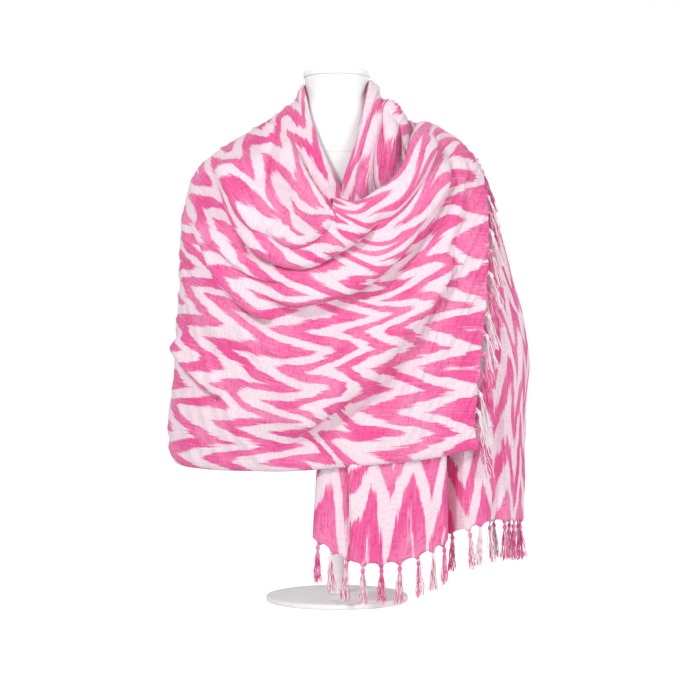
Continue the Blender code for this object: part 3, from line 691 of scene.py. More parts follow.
def ikat_group() -> bpy.types.NodeTree:
    """The zigzag of an ikat, which is dyed into bundles of lengthwise yarns.

    Returns:
        A group that puts out Pink, 1 where the dye is, and Streak, which varies by yarn.
    """
    graph, given, taken = new_group(
        "ikat_zigzag",
        [("Along", 0.0), ("Across", 0.0), ("Zigzag Width", 0.07), ("Repeat", 0.11),
         ("Zigzag Height", 0.105), ("Bundle", 0.0056), ("Feather", 0.028), ("Share", 0.252),
         ("Length", 2.0)],
        ["Pink", "Streak"],
    )
    spot = along, across = given["Along"], given["Across"]
    half = graph.math("DIVIDE", given["Zigzag Width"], 2.0)
    sway = graph.wander(spot, (6.0, 3.0), 0.022)
    shifted = graph.add(graph.math("SUBTRACT", across, 0.058), sway)
    slant = graph.math("DIVIDE", graph.math("PINGPONG", shifted, half), half)
    blunt = graph.ramp(slant, 0.0, 1.0)
    zigzag = graph.add(graph.times(slant, 0.65), graph.times(blunt, 0.35))
    zigzag = graph.times(zigzag, given["Zigzag Height"])
    bundle = graph.math("FLOOR", graph.math("DIVIDE", across, given["Bundle"]))
    place = graph.add(
        graph.math("SUBTRACT", graph.math("SUBTRACT", along, zigzag), 0.036),
        graph.wander((along, bundle), (10.0, 3.7), 0.042),
        graph.wander(spot, (34.0, 1100.0), 0.024),
        graph.wander(spot, (5.0, 10.0), 0.085),
    )
    turns = graph.math("SUBTRACT", graph.math("DIVIDE", place, given["Repeat"]), 0.25)
    away = graph.math("PINGPONG", turns, 0.5)

    at_hem = graph.times(graph.ramp(along, 0.0, 0.065, 1.0, 0.0), slant)
    to_end = graph.math("SUBTRACT", given["Length"], along)
    at_end = graph.times(graph.ramp(to_end, 0.0, 0.065, 1.0, 0.0),
                         graph.math("SUBTRACT", 1.0, slant))
    border = graph.times(graph.add(at_hem, at_end), 0.27)
    share = graph.add(given["Share"], graph.wander(spot, (9.0, 17.0), 0.20), border)
    low = graph.math("SUBTRACT", share, given["Feather"])
    high = graph.add(share, given["Feather"])
    graph.set(taken.inputs["Pink"], graph.ramp(away, low, high, 1.0, 0.0))

    fine = graph.noise(spot, (22.0, 640.0), 2.0)
    cloud = graph.noise(spot, (13.0, 15.0))
    graph.set(taken.inputs["Streak"], graph.add(graph.times(fine, 0.5), graph.times(cloud, 0.5)))
    return graph.tree


def weave_group() -> bpy.types.NodeTree:
    """A crinkled plain weave with a faint rib across it.

    Returns:
        A group that puts out Height for a bump, Rib, 1 on a rib, and Tint, which wanders.
    """
    graph, given, taken = new_group(
        "crinkled_weave",
        [("Along", 0.0), ("Across", 0.0), ("Rib Pitch", 0.0076), ("Crepe", 0.6),
         ("Crease", 1.1)],
        ["Height", "Rib", "Tint"],
    )
    spot = along, across = given["Along"], given["Across"]
    wander = graph.wander(spot, (60.0, 45.0), 1.3)
    turns = graph.add(graph.math("DIVIDE", along, given["Rib Pitch"]), wander)
    rib = graph.ramp(graph.math("COSINE", graph.times(turns, 2 * math.pi)), -0.4, 1.0)
    broken = graph.ramp(graph.noise(spot, (190.0, 130.0), 2.0), 0.28, 0.66)
    graph.set(taken.inputs["Rib"], graph.times(rib, broken))
    graph.set(taken.inputs["Tint"], graph.noise(spot, (260.0, 90.0), 2.0))

    yarn = graph.math("SINE", graph.times(across, 2 * math.pi / YARN_PITCH))
    pick = graph.math("SINE", graph.times(along, 2 * math.pi / PICK_PITCH))
    off = graph.math("ABSOLUTE", graph.wander(spot, (5.0, 42.0), 2.0))
    crease = graph.math("POWER", graph.math("SUBTRACT", 1.0, off), 9.0)
    graph.set(taken.inputs["Height"], graph.add(
        graph.times(graph.noise(spot, (420.0, 300.0), 2.0), given["Crepe"]),
        graph.times(graph.times(yarn, pick), 0.10),
        graph.times(rib, 0.36),
        graph.times(crease, given["Crease"]),
    ))
    return graph.tree


def grain_group() -> bpy.types.NodeTree:
    """The fine unevenness of moulded plastic or paint, on object coordinates.

    Returns:
        A group that puts out Height for a bump and Patch, a slow variation.
    """
    graph, given, taken = new_group("fine_grain", [("Grain", 900.0), ("Patches", 14.0)],
                                    ["Height", "Patch"])
    coordinates = graph.node("ShaderNodeTexCoord")
    for output, scale in (("Height", given["Grain"]), ("Patch", given["Patches"])):
        made = graph.node("ShaderNodeTexNoise")
        graph.set(made.inputs["Vector"], coordinates.outputs["Object"])
        graph.set(made.inputs["Scale"], scale)
        made.inputs["Detail"].default_value = 2.0
        graph.set(taken.inputs[output], made.outputs[0])
    return graph.tree


@dataclass(frozen=True)
class Groups:
    """The node groups that the finishes share."""

    ikat: bpy.types.NodeTree
    weave: bpy.types.NodeTree
    grain: bpy.types.NodeTree


def start_material(name: str) -> tuple[bpy.types.Material, Graph, bpy.types.Node]:
    """A new material, its graph and its Principled node."""
    made = bpy.data.materials.new(name)
    made.use_nodes = True
    return made, Graph(made.node_tree), made.node_tree.nodes["Principled BSDF"]


def add_bump(graph: Graph, shader: bpy.types.Node, height: Socket, distance: float,
             strength: float) -> None:
    """Feeds a height through a bump into a shader's normal."""
    bump = graph.node("ShaderNodeBump")
    bump.inputs["Distance"].default_value = distance
    bump.inputs["Strength"].default_value = strength
    graph.set(bump.inputs["Height"], height)
    graph.set(shader.inputs["Normal"], bump.outputs[0])


Colour = tuple[float, float, float, float]


@dataclass(frozen=True)
class IkatCotton:
    """Crinkled cotton with a zigzag that was dyed into its lengthwise yarns."""

    name: str = "ikat_cloth"
    pink: Colour = (0.78, 0.080, 0.295, 1.0)
    light_pink: Colour = (0.84, 0.245, 0.455, 1.0)
    deep_pink: Colour = (0.70, 0.025, 0.180, 1.0)
    white: Colour = (0.87, 0.70, 0.775, 1.0)
    blush: Colour = (0.88, 0.55, 0.67, 1.0)
    grey: Colour = (0.74, 0.67, 0.71, 1.0)
    repeat: float = 0.11
    length: float = 2.0
    roughness: float = 0.82
    sheen: float = 0.15

    def make(self, groups: Groups) -> bpy.types.Material:
        """Builds the material.

        Args:
            groups: The shared node groups.

        Returns:
            The finished material, which reads the piece's UV map in metres.
        """
        made, graph, shader = start_material(self.name)
        uv = graph.node("ShaderNodeUVMap", uv_map=UV_MAP)
        parts = graph.node("ShaderNodeSeparateXYZ")
        graph.set(parts.inputs[0], uv.outputs[0])
        ikat = graph.node("ShaderNodeGroup", node_tree=groups.ikat)
        weave = graph.node("ShaderNodeGroup", node_tree=groups.weave)
        for group in (ikat, weave):
            graph.set(group.inputs["Along"], parts.outputs[0])
            graph.set(group.inputs["Across"], parts.outputs[1])
        ikat.inputs["Repeat"].default_value = self.repeat
        ikat.inputs["Length"].default_value = self.length
        tint = weave.outputs["Tint"]
        pale = graph.mix(graph.ramp(tint, 0.35, 0.65), self.blush, self.grey)
        ribs = graph.times(weave.outputs["Rib"], 0.9)
        specks = graph.times(graph.ramp(tint, 0.46, 0.62), 0.5)
        white = graph.mix(graph.math("MAXIMUM", ribs, specks), self.white, pale)
        pink = graph.mix(graph.ramp(ikat.outputs["Streak"], 0.34, 0.68), self.pink,
                         self.light_pink)
        pink = graph.mix(graph.times(graph.ramp(tint, 0.50, 0.78), 0.55), pink, self.deep_pink)
        graph.set(shader.inputs["Base Color"], graph.mix(ikat.outputs["Pink"], white, pink))
        graph.set(shader.inputs["Roughness"],
                  graph.ramp(tint, 0.2, 0.8, self.roughness - 0.06, self.roughness + 0.08))
        shader.inputs["Sheen Weight"].default_value = self.sheen
        shader.inputs["Sheen Roughness"].default_value = 0.4
        add_bump(graph, shader, weave.outputs["Height"], 0.0012, 0.55)
        return made


@dataclass(frozen=True)
class CottonYarn:
    """Loose cotton yarn of one dye, a little uneven along its length."""

    name: str
    colour: Colour
    paler: Colour
    roughness: float = 0.9

    def make(self, groups: Groups) -> bpy.types.Material:
        """Builds the material, which reads object coordinates."""
        made, graph, shader = start_material(self.name)
        grain = graph.node("ShaderNodeGroup", node_tree=groups.grain)
        grain.inputs["Grain"].default_value = 1500.0
        grain.inputs["Patches"].default_value = 55.0
        patch = graph.ramp(grain.outputs["Patch"], 0.35, 0.65)
        graph.set(shader.inputs["Base Color"], graph.mix(patch, self.colour, self.paler))
        graph.set(shader.inputs["Roughness"],
                  graph.ramp(grain.outputs["Height"], 0.2, 0.8, self.roughness - 0.1, 1.0))
        shader.inputs["Sheen Weight"].default_value = 0.2
        add_bump(graph, shader, grain.outputs["Height"], 0.0006, 0.6)
        return made


@dataclass(frozen=True)
class HardWhite:
    """White plastic or painted steel, smooth with a fine grain."""

    name: str
    colour: Colour
    shade: Colour
    roughness: float
    bump: float

    def make(self, groups: Groups) -> bpy.types.Material:
        """Builds the material, which reads object coordinates."""
        made, graph, shader = start_material(self.name)
        grain = graph.node("ShaderNodeGroup", node_tree=groups.grain)
        patch = graph.ramp(grain.outputs["Patch"], 0.3, 0.7)
        graph.set(shader.inputs["Base Color"], graph.mix(patch, self.colour, self.shade))
        graph.set(shader.inputs["Roughness"],
                  graph.ramp(grain.outputs["Patch"], 0.2, 0.8, self.roughness - 0.05,
                             self.roughness + 0.07))
        add_bump(graph, shader, grain.outputs["Height"], 0.0003, self.bump)
        return made


def dress(piece: bpy.types.Object, node: str) -> None:
    """Makes a finished piece ride on the model and the node it replaces."""
    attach(piece, BODY)
    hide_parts(node)
    LOG.info("%s: %d faces", piece.name, len(piece.data.polygons))


def link_mesh(name: str, bm: bmesh.types.BMesh, smooth_angle: float = 180.0) -> bpy.types.Object:
    """Turns a bmesh into a linked object with smooth shading.

    Args:
        name: The object's name.
        bm: The bmesh, which is freed.
        smooth_angle: The angle in degrees past which an edge stays sharp.

    Returns:
        The object.
    """
    mesh = bpy.data.meshes.new(name)
    bm.to_mesh(mesh)
    bm.free()
    mesh.shade_smooth()
    if smooth_angle < 180.0:
        mesh.set_sharp_from_angle(angle=math.radians(smooth_angle))
    made = bpy.data.objects.new(name, mesh)
    bpy.context.scene.collection.objects.link(made)
    return made


@dataclass
class ClothSheet:
    """One stretch of the shawl as a thin sheet.

    Attributes:
        drape: The surface that it lies on.
        stretch: Which stretch it is.
        columns: Columns of the mesh along the cloth.
        rows: Rows of the mesh across the cloth.
        wall: The sheet's thickness.
        scallop: How far the hem draws back between two tassels.
        strip: How far the hem reaches past the last station at a tassel.
        hem_reach: How much of the cloth follows the scallops.
        panel_hem: The height of the hem under the wrap's end.
        panel_top: The height at which the wrap's end turns over the shoulder.
        panel_blend: The width over which the yarns turn level beside the panel's line.
    """

    drape: Drape
    stretch: Stretch
    columns: int
    rows: int
    wall: float = 0.0012
    scallop: float = 0.0060
    strip: float = HEM_STRIP
    hem_reach: float = 0.045
    panel_hem: float = 0.258
    panel_top: float = 0.82
    panel_blend: float = 0.14

    def tassel_shares(self) -> Array:
        """The shares of the width at which tassels hang from this stretch's fringed end."""
        if self.stretch is Stretch.TAIL:
            return np.sort(self.drape.hem_shares((*FRONT_TASSELS, *SIDE_TASSELS)))
        return END_SHARES

    def scalloped(self, along: Array, across: Array) -> Array:
        """Moves places near the fringed end along the cloth, into scallops.

        Args:
            along: Places along the stations.
            across: Shares of the width.

        Returns:
            The places along, with the end drawn back between the tassels.
        """
        if self.stretch is Stretch.BACK:
            return along
        knots = self.tassel_shares()
        slot = np.clip(np.searchsorted(knots, across), 1, len(knots) - 1)
        low, high = knots[slot - 1], knots[slot]
        share = np.clip((across - low) / (high - low), 0.0, 1.0)
        arch = 1 - (2 * np.abs(share - 0.5)) ** 2.2
        move = self.strip - self.scallop * arch
        near = smooth_step(1 - np.abs(along - self.stretch.fringed_end) / self.hem_reach)
        return along + self.stretch.onward * move * near

    def grid(self) -> tuple[Laid, Array, Array]:
        """The sheet's laid points with their places on the cloth, row by row."""
        columns = np.linspace(self.stretch.start, self.stretch.end, self.columns + 1)
        shares = np.linspace(0.0, 1.0, self.rows + 1)
        along, across = (a.reshape(-1) for a in np.meshgrid(columns, shares))
        along = self.scalloped(along, across)
        return self.drape.point(self.stretch, along, across), along, across

    def level_panel(self, flat: Array, points: Array, last: float) -> Array:
        """Lets the yarns run level in the panel where the wrap's end hangs straight down.

        Args:
            flat: Places on the cloth in metres, along and across.
            points: The cloth's points.
            last: Metres along at the wrap's end.

        Returns:
            The places, with those of the panel measured from its end and its hem.
        """
        shares = np.linspace(1.0, 0.34, 80)
        ends = np.full(len(shares), Stretch.WRAP.end)
        edge = self.drape.point(Stretch.WRAP, ends, shares, fine=False).points
        x, y, z = points.T
        beside = [np.interp(z, edge[:, 2], edge[:, axis]) for axis in (0, 1)]
        reach = np.copysign(np.hypot(x - beside[0], y - beside[1]), beside[0] - x)
        level = np.stack([last - reach, self.drape.width - (z - self.panel_hem)], axis=1)
        away, _, _ = self.drape.beside_line(points[:, [0, 2]], PANEL_LINE)
        joined = np.abs(away) < 0.01
        level[:, 1] += np.median((flat - level)[joined, 1])
        weight = smooth_step(away / self.panel_blend + 0.70) * smooth_step((x + 0.06) / 0.10)
        weight *= smooth_step((self.panel_top - z) / 0.12) * smooth_step(-y / 0.03)
        return flat + weight[:, None] * (level - flat)

    def build(self, cloth: bpy.types.Material, metres: "ClothLength") -> bpy.types.Object:
        """Builds the sheet with its UV map in metres and gives it a wall.

        Args:
            cloth: Its finish.
            metres: Turns places along the stations into metres of cloth.

        Returns:
            The sheet.
        """
        laid, along, across = self.grid()
        bm = bmesh.new()
        bmesh.ops.create_grid(bm, x_segments=self.columns, y_segments=self.rows, size=0.5)
        layer = bm.loops.layers.uv.new(UV_MAP)
        flat = np.stack([metres.at(along), across * self.drape.width], axis=1) + laid.hidden
        if self.stretch is Stretch.WRAP:
            flat = self.level_panel(flat, laid.points, float(metres.metres[-1]))
        for vert, point in zip(bm.verts, laid.points):
            vert.co = point
        for face in bm.faces:
            for loop in face.loops:
                loop[layer].uv = flat[loop.vert.index]
        made = link_mesh(f"shawl_{self.stretch.name.lower()}", bm)
        made.data.materials.append(cloth)
        wall = made.modifiers.new("wall", "SOLIDIFY")
        wall.thickness = self.wall
        wall.offset = -1.0
        return made


@dataclass
class ClothLength:
    """Turns places along the stations into metres of cloth, measured down its middle rows."""

    drape: Drape
    steps: int = 440

    def __post_init__(self) -> None:
        """Measures the cloth from the tail's end to the wrap's."""
        shares = np.array([0.45, 0.60, 0.75])
        self.places = np.linspace(Stretch.TAIL.start, Stretch.WRAP.end, self.steps + 1)
        total = np.zeros(len(self.places))
        for share in shares:
            spots, _ = self.drape.place(self.places, np.full(len(self.places), share))
            line = self.drape.ring_point(spots[:, 0], spots[:, 1])
            total[1:] += np.linalg.norm(np.diff(line, axis=0), axis=1)
        self.metres = np.cumsum(total) / len(shares)

    def at(self, along: Array) -> Array:
        """Metres of cloth from the tail's end."""
        low, high = self.places[0], self.places[-1]
        inside = np.interp(along, self.places, self.metres)
        return inside + np.minimum(along - low, 0.0) + np.maximum(along - high, 0.0)


class YarnMix(Enum):
    """How a tassel's yarns are dyed: the share of pink ones."""

    PINK = 0.9
    MIXED = 0.5
    PALE = 0.2


@dataclass
class Fringe:
    """A row of knotted tassels along part of an end of the shawl.

    Attributes:
        name: The piece's name.
        node: The node that it stands for.
        drape: The cloth's surface.
        stretch: The stretch whose end it hangs from.
        shares: Shares of the width of its tassels.
        seed: Seeds its draws.
        length: A tassel's length, knot and all.
        yarns: Loose yarns in a tassel.
        yarn_radius: Half a yarn's thickness.
        strip: How far past the last station the knots hang.
        neck: The length of the gathered yarns between the cloth and the knot.
        knot: The knot's height.
        knot_radius: The radius of the coil that winds it.
        coil: How many turns the coil has, and the steps in a turn.
        cord_radius: Half the thickness of the wound cord.
        gather: Half the width of hem from which a knot gathers its yarns.
        swell: How far the loose yarns spread at the knot, and how much more at their ends.
        wave: How far a loose yarn strays to the side and outwards.
        steps: Straight pieces in a loose yarn.
        floor_gap: The least height of a tassel's end above the ground.
    """

    name: str
    node: str
    drape: Drape
    stretch: Stretch
    shares: Array
    seed: int
    length: float = 0.065
    yarns: int = 20
    yarn_radius: float = 0.00062
    strip: float = HEM_STRIP
    neck: float = 0.004
    knot: float = 0.0075
    knot_radius: float = 0.0025
    coil: tuple[float, int] = (4.5, 8)
    cord_radius: float = 0.00105
    gather: float = 0.0085
    swell: tuple[float, float] = (0.0022, 0.0062)
    wave: tuple[float, float] = (0.0013, 0.0010)
    steps: int = 8
    floor_gap: float = 0.014

    def roots(self) -> list[Root]:
        """Where the tassels hang."""
        onward = self.stretch.onward
        ends = np.full(len(self.shares), self.stretch.fringed_end)
        points, normals, _ = self.drape.point(self.stretch, ends, self.shares, fine=False)
        before, after = (
            self.drape.point(self.stretch, ends, self.shares + step, fine=False).points
            for step in (-SIDE_STEP, SIDE_STEP)
        )
        sides = unit(after - before)
        ons = onward * unit(np.cross(normals, sides))
        outs = onward * np.cross(sides, ons)
        return [Root(*map(Vector, row)) for row in zip(points, ons, sides, outs)]

    def hang(self, index: int, root: Root) -> Vector:
        """The way a tassel hangs: down from the hem, or out and down from the wrap's end."""
        if self.stretch is Stretch.TAIL:
            sway = Vector((0.05 * math.sin(2.3 * index), 0.04 * math.cos(1.7 * index), -1.0))
            return sway.normalized()
        outward = Vector((root.out.x, root.out.y, max(root.out.z, 0.0)))
        return (root.on * 0.18 + outward * 0.20 + Vector((0.0, 0.0, -1.0))).normalized()

    def add_line(self, curve: bpy.types.Curve, points: Sequence[Vector], slot: int,
                 radius: float) -> None:
        """Adds one yarn to the curve, through points, with a material slot."""
        line = curve.splines.new("POLY")
        line.points.add(len(points) - 1)
        for spot, point in zip(line.points, points):
            spot.co = (*point, 1.0)
            spot.radius = radius / self.yarn_radius
        line.material_index = slot
        line.use_smooth = True

    def add_tassel(self, curve: bpy.types.Curve, root: Root, hang: Vector,
                   rng: np.random.Generator) -> None:
        """Adds a tassel's gathered neck, wound knot and loose yarns."""
        turn = root.on.rotation_difference(hang)
        side, out = turn @ root.side, turn @ root.out
        hem = root.edge + root.on * self.strip - root.out * 0.0006
        head = hem + (root.on + hang).normalized() * self.neck
        foot = head + hang * self.knot
        length = min(self.length, root.edge.z - self.floor_gap) - self.knot - self.neck
        mix = list(YarnMix)[int(rng.choice(3, p=(0.34, 0.36, 0.30)))].value
        for _ in range(self.yarns):
            spread = float(rng.uniform(-1.0, 1.0))
            angle, away = rng.uniform(0, 2 * math.pi), math.sqrt(rng.uniform(0, 1))
            lean = side * (math.cos(angle) * away) + out * (math.sin(angle) * away)
            back = 0.0015 + 0.006 * abs(spread)
            start = hem + root.side * spread * self.gather - root.on * back
            points = [start, head + lean * 0.0016, foot + lean * 0.0018]
            reach = length * float(rng.uniform(0.84, 1.0))
            phase, waves = rng.uniform(0, 2 * math.pi), rng.uniform(1.2, 2.6)
            for step in range(1, self.steps + 1):
                share = step / self.steps
                swell = self.swell[0] + self.swell[1] * share**0.7
                wave = self.wave[0] * math.sin(phase + waves * 2 * math.pi * share) * share**0.5
                other = self.wave[1] * math.cos(1.3 * phase + waves * 5.1 * share) * share**0.5
                points.append(foot + hang * reach * share + lean * swell + side * wave
                              + out * other)
            slot = 0 if rng.uniform() < mix else 1
            self.add_line(curve, points, slot, self.yarn_radius * float(rng.uniform(0.8, 1.15)))
        slot = 0 if mix > 0.4 else 1
        turns, per_turn = self.coil
        wound = []
        for step in range(int(turns * per_turn) + 1):
            share = step / (turns * per_turn)
            angle = 2 * math.pi * step / per_turn
            radius = self.knot_radius * (0.72 + 0.5 * math.sin(math.pi * share))
            ring = side * math.cos(angle) + out * math.sin(angle)
            wound.append(head + hang * self.knot * share + ring * radius)
        self.add_line(curve, wound, slot, self.cord_radius)

    def build(self, yarns: Sequence[bpy.types.Material]) -> bpy.types.Object:
        """Builds the fringe as one mesh.

        Args:
            yarns: The pink and the white yarn finishes.

        Returns:
            The fringe.
        """
        rng = np.random.default_rng(self.seed)
        curve = bpy.data.curves.new(self.name, "CURVE")
        curve.dimensions = "3D"
        curve.bevel_depth = self.yarn_radius
        curve.bevel_resolution = 0
        curve.use_fill_caps = True
        for yarn in yarns:
            curve.materials.append(yarn)
        for index, root in enumerate(self.roots()):
            self.add_tassel(curve, root, self.hang(index, root), rng)
        source = bpy.data.objects.new(f"{self.name}_lines", curve)
        bpy.context.scene.collection.objects.link(source)
        bpy.context.view_layer.update()
        graph = bpy.context.evaluated_depsgraph_get()
        mesh = bpy.data.meshes.new_from_object(source.evaluated_get(graph), depsgraph=graph)
        bpy.data.objects.remove(source)
        made = bpy.data.objects.new(self.name, mesh)
        bpy.context.scene.collection.objects.link(made)
        return made


class FormRing(NamedTuple):
    """A level ring of the dress form, at a height, with its half widths."""

    z: float
    side: float
    front: float
    back: float


FORM_RINGS = (
    FormRing(0.8837, 0.0545, 0.0545, 0.0545),
    FormRing(0.860, 0.0545, 0.0545, 0.0545),
    FormRing(0.842, 0.0590, 0.0560, 0.0570),
    FormRing(0.826, 0.0790, 0.0580, 0.0620),
    FormRing(0.808, 0.1120, 0.0610, 0.0650),
    FormRing(0.789, 0.1445, 0.0640, 0.0690),
    FormRing(0.769, 0.1770, 0.0680, 0.0740),
    FormRing(0.745, 0.2055, 0.0730, 0.0830),
    FormRing(0.718, 0.2230, 0.0790, 0.0930),
    FormRing(0.685, 0.2310, 0.0860, 0.1040),
    FormRing(0.645, 0.2200, 0.0930, 0.1040),
    FormRing(0.600, 0.1880, 0.0970, 0.1010),
    FormRing(0.550, 0.1650, 0.0940, 0.0960),
    FormRing(0.490, 0.1460, 0.0860, 0.0880),
    FormRing(0.430, 0.1400, 0.0820, 0.0850),
    FormRing(0.375, 0.1480, 0.0860, 0.0920),
    FormRing(0.348, 0.1500, 0.0870, 0.0940),
    FormRing(0.340, 0.1420, 0.0790, 0.0860),
)


def turned(name: str, profile: Sequence[tuple[float, float]], segments: int,
           corner: float = 0.0) -> bpy.types.Object:
    """A solid of revolution round the Z axis.

    Args:
        name: The object's name.
        profile: (radius, height) points in order round the section.
        segments: Steps of the full turn.
        corner: How far sharp edges are rounded.

    Returns:
        The object.
    """
    bm = bmesh.new()
    verts = [bm.verts.new((radius, 0.0, z)) for radius, z in profile]
    edges = [bm.edges.new(pair) for pair in zip(verts, verts[1:])]
    bmesh.ops.spin(bm, geom=verts + edges, axis=(0, 0, 1), cent=(0, 0, 0),
                   angle=2 * math.pi, steps=segments, use_merge=True)
    bmesh.ops.remove_doubles(bm, verts=bm.verts[:], dist=1e-5)
    bmesh.ops.recalc_face_normals(bm, faces=bm.faces[:])
    if corner:
        sharp = [e for e in bm.edges if len(e.link_faces) == 2
                 and e.calc_face_angle(0.0) > math.radians(40)]
        bmesh.ops.bevel(bm, geom=sharp, offset=corner, affect="EDGES", segments=3,
                        profile=0.5, material=-1)
    return link_mesh(name, bm, 60.0)


@dataclass
class DressForm:
    """The limbless form: its neck, shoulders and trunk, and the cap on its neck.

    Attributes:
        segments: Steps round the form.
        ring_step: Metres between its rings.
        seam_z: The height of the parting line across the chest.
        seam_depth: How deep the line is cut.
        cap_radius: The neck cap's radius.
        top: The top of the cap.
        cap_height: The cap's height.
    """

    segments: int = 96
    ring_step: float = 0.008
    seam_z: float = 0.751
    seam_depth: float = 0.0011
    cap_radius: float = 0.0568
    top: float = 0.894
    cap_height: float = 0.010

    def heights(self) -> Array:
        """Heights of the form's rings, closer at the parting line."""
        high, low = FORM_RINGS[0].z, FORM_RINGS[-1].z
        even = np.arange(low + self.ring_step, high - self.ring_step / 2, self.ring_step)
        even = even[np.abs(even - self.seam_z) > 0.004]
        seam = self.seam_z + np.array([-0.003, -0.0013, 0.0, 0.0013, 0.003])
        return np.sort(np.concatenate([[low, high], even, seam]))[::-1]

    def build(self, plastic: bpy.types.Material) -> list[bpy.types.Object]:
        """Builds the trunk and the cap.

        Args:
            plastic: Their finish.

        Returns:
            The two pieces.
        """
        table = np.array(FORM_RINGS)[::-1]
        heights = self.heights()
        rings = smooth_rows(table[:, 0], table[:, 1:], heights)
        cut = self.seam_depth * np.exp(-(((heights - self.seam_z) / 0.0011) ** 2))
        bm = bmesh.new()
        verts = bmesh.ops.create_circle(bm, segments=self.segments, radius=1.0)["verts"]
        bmesh.ops.edgeloop_fill(bm, edges=bm.edges[:])
        edges = [bm.edges.get((verts[i - 1], verts[i])) for i in range(len(verts))]
        self.lay_loop(verts, heights[0], rings[0])
        for z, ring, inward in zip(heights[1:], rings[1:], cut[1:]):
            made = bmesh.ops.extrude_edge_only(bm, edges=edges)["geom"]
            new = {g for g in made if isinstance(g, bmesh.types.BMVert)}
            verts = [next(e.other_vert(v) for e in v.link_edges if e.other_vert(v) in new)
                     for v in verts]
            edges = [bm.edges.get((verts[i - 1], verts[i])) for i in range(len(verts))]
            self.lay_loop(verts, z, ring - inward)
        bmesh.ops.edgeloop_fill(bm, edges=edges)
        bmesh.ops.recalc_face_normals(bm, faces=bm.faces[:])
        trunk = link_mesh("dress_form", bm, 60.0)
        low = self.top - self.cap_height
        cap = turned("neck_cap", [(0.0, self.top), (self.cap_radius, self.top - 0.0006),
                                  (self.cap_radius, low), (0.0, low)], self.segments, 0.0022)
        for piece, node in ((trunk, "form_torso"), (cap, "form_neck_cap")):
            piece.data.materials.append(plastic)
            dress(piece, node)
        return [trunk, cap]

    def lay_loop(self, verts: Sequence[bmesh.types.BMVert], z: float, ring: Array) -> None:
        """Moves a loop of verts on to a ring of the form."""
        side, front, back = ring
        for index, vert in enumerate(verts):
            angle = 2 * math.pi * index / self.segments
            depth = front if math.cos(angle) > 0 else back
            vert.co = (side * math.sin(angle), -depth * math.cos(angle), z)


@dataclass
class Stand:
    """The stand under the form: a round base, a pole and the socket that holds it."""

    pole_radius: float = 0.0125
    socket_radius: float = 0.020
    socket_height: float = 0.030
    base_radius: float = 0.120
    base_height: float = 0.010
    form_bottom: float = 0.340
    seat_gap: float = 0.0003

    def build(self, paint: bpy.types.Material) -> list[bpy.types.Object]:
        """Builds the three pieces.

        Args:
            paint: Their finish.

        Returns:
            The pieces.
        """
        high, low = self.form_bottom - self.seat_gap, self.base_height + self.seat_gap
        inner = self.pole_radius + self.seat_gap
        deep = high - self.socket_height
        base = turned("base_disc", [(0.0, self.base_height), (self.base_radius, 0.0088),
                                    (self.base_radius, 0.0), (0.0, 0.0)], 96, 0.0028)
        pole = turned("pole", [(0.0, high), (self.pole_radius, high),
                               (self.pole_radius, low), (0.0, low)], 48, 0.0008)
        socket = turned("pole_socket", [(inner, high), (self.socket_radius, high),
                                        (self.socket_radius, deep), (inner, deep),
                                        (inner, high)], 48, 0.0015)
        pieces = {"stand_base": base, "stand_pole": pole, "stand_socket": socket}
        for node, piece in pieces.items():
            piece.data.materials.append(paint)
            dress(piece, node)
        return list(pieces.values())


@dataclass
class Shawl:
    """The shawl: three stretches of one cloth, and the tassels on its two ends.

    Attributes:
        drape: The surface that it lies on.
        columns: Columns of each stretch's mesh.
        stated: The share of each stretch's rectangular cut that its row states as area. The
        tail's and the back's were chosen to bring their rows within limits and are not
        measured. The modelled surfaces are 0.68, 0.62 and 0.95 of the cut, because the
        gathers are much shallower than real ones. It is not used.
        rows: Rows of their meshes.
        repeat: About how long a repeat of the zigzag is.
        borders: What the whole repeats leave over at the shawl's two ends together.
        first_seed: Seeds the first fringe. The others follow on.
    """

    drape: Drape
    columns: tuple[int, ...] = (240, 80, 200)
    stated: tuple[float, ...] = (0.84, 0.78, 1.0)
    rows: int = 235
    repeat: float = 0.11
    borders: float = 0.121
    first_seed: int = 11

    def build(self, groups: Groups) -> None:
        """Args:
            groups: The shared node groups.
        """
        metres = ClothLength(self.drape)
        total = float(metres.metres[-1])
        repeat = (total - self.borders) / round((total - self.borders) / self.repeat)
        cloth = IkatCotton(repeat=repeat, length=total).make(groups)
        pink = CottonYarn("pink_yarn", (0.84, 0.08, 0.33, 1.0), (0.92, 0.30, 0.52, 1.0))
        white = CottonYarn("white_yarn", (0.92, 0.78, 0.83, 1.0), (0.95, 0.90, 0.92, 1.0))
        yarns = [pink.make(groups), white.make(groups)]
        LOG.info("cloth measures %.3f m, repeat %.4f m", total, repeat)

        drape = self.drape
        fringes = (
            ("tail_front", Stretch.TAIL, drape.hem_shares(FRONT_TASSELS)),
            ("tail_side", Stretch.TAIL, drape.hem_shares(SIDE_TASSELS)),
            ("wrap_upper", Stretch.WRAP, END_SHARES[:UPPER_TASSELS]),
            ("wrap_lower", Stretch.WRAP, END_SHARES[UPPER_TASSELS:]),
        )
        for stretch, columns, stated in zip(Stretch, self.columns, self.stated):
            sheet = ClothSheet(drape, stretch, columns, self.rows).build(cloth, metres)
            dress(sheet, stretch.node)
            for seed, (place, end, shares) in enumerate(fringes, self.first_seed):
                if end is stretch:
                    fringe = Fringe(f"tassels_{place}", f"fringe_{place}", drape, end, shares, seed)
                    made = fringe.build(yarns)
                    dress(made, fringe.node)


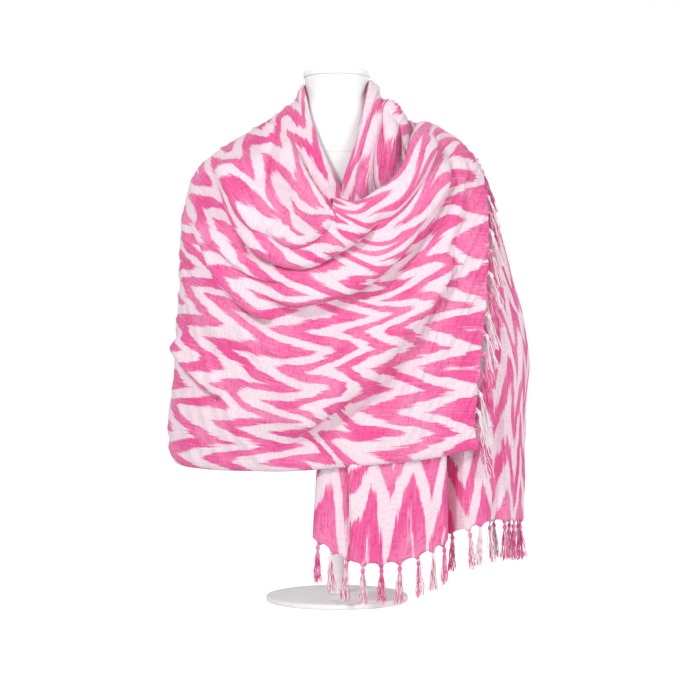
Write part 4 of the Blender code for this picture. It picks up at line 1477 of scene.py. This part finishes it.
@dataclass
class Studio:
    """The camera, the soft lights, the white surround and the floor.

    Attributes:
        eye: Where the camera stands.
        lens: Its focal length in millimetres on a 36 mm sensor.
        surround: How bright the white surround is.
    """

    eye: tuple[float, float, float] = (0.005, -3.0, 0.44)
    lens: float = 93.7
    surround: float = 0.51

    def add_light(self, name: str, at: Sequence[float], size: float, power: float) -> None:
        """Adds an area light that faces the middle of the shawl."""
        data = bpy.data.lights.new(name, "AREA")
        data.size = size
        data.energy = power
        light = bpy.data.objects.new(name, data)
        light.location = at
        aim = Vector((0.0, 0.0, 0.45)) - Vector(at)
        light.rotation_euler = aim.to_track_quat("-Z", "Y").to_euler()
        bpy.context.scene.collection.objects.link(light)

    def build(self) -> None:
        """Builds the camera, the lights, the world and the floor."""
        scene = bpy.context.scene
        camera = bpy.data.objects.new("camera", bpy.data.cameras.new("camera"))
        camera.data.lens = self.lens
        camera.location = self.eye
        camera.rotation_euler = (math.pi / 2, 0.0, 0.0)
        scene.collection.objects.link(camera)
        scene.camera = camera
        scene.view_settings.view_transform = "Standard"

        world = bpy.data.worlds.new("white_surround")
        world.use_nodes = True
        graph = Graph(world.node_tree)
        seen = graph.node("ShaderNodeLightPath").outputs["Is Camera Ray"]
        back = world.node_tree.nodes["Background"]
        back.inputs["Color"].default_value = (1.0, 1.0, 1.0, 1.0)
        graph.set(back.inputs["Strength"], graph.ramp(seen, 0.0, 1.0, self.surround, 1.0))
        scene.world = world
        self.add_light("key", (-1.25, -2.1, 2.1), 0.40, 38.0)
        self.add_light("front_fill", (1.8, -2.0, 0.8), 1.4, 25.0)
        self.add_light("back_fill", (1.2, 2.6, 1.7), 1.2, 14.0)

        bm = bmesh.new()
        bmesh.ops.create_circle(bm, cap_ends=True, segments=96, radius=9.0)
        floor = link_mesh("floor", bm)
        made, graph, shader = start_material("floor_white")
        shader.inputs["Base Color"].default_value = (0.93, 0.93, 0.93, 1.0)
        shader.inputs["Roughness"].default_value = 0.9
        shader.inputs["Emission Color"].default_value = (1.0, 1.0, 1.0, 1.0)
        seen = graph.node("ShaderNodeLightPath").outputs["Is Camera Ray"]
        graph.set(shader.inputs["Emission Strength"], graph.times(seen, 0.55))
        floor.data.materials.append(made)


def main() -> None:
    """Builds the studio, the form, its stand and the shawl."""
    logging.basicConfig(level=logging.INFO, format="%(name)s: %(message)s")
    Studio().build()
    groups = Groups(ikat_group(), weave_group(), grain_group())
    plastic = HardWhite("form_white", (0.90, 0.90, 0.90, 1.0), (0.93, 0.93, 0.93, 1.0), 0.36, 0.25)
    paint = HardWhite("stand_white", (0.88, 0.88, 0.89, 1.0), (0.92, 0.92, 0.93, 1.0), 0.40, 0.45)
    DressForm().build(plastic.make(groups))
    Stand().build(paint.make(groups))
    Shawl(Drape()).build(groups)


if __name__ == "__main__":
    main()
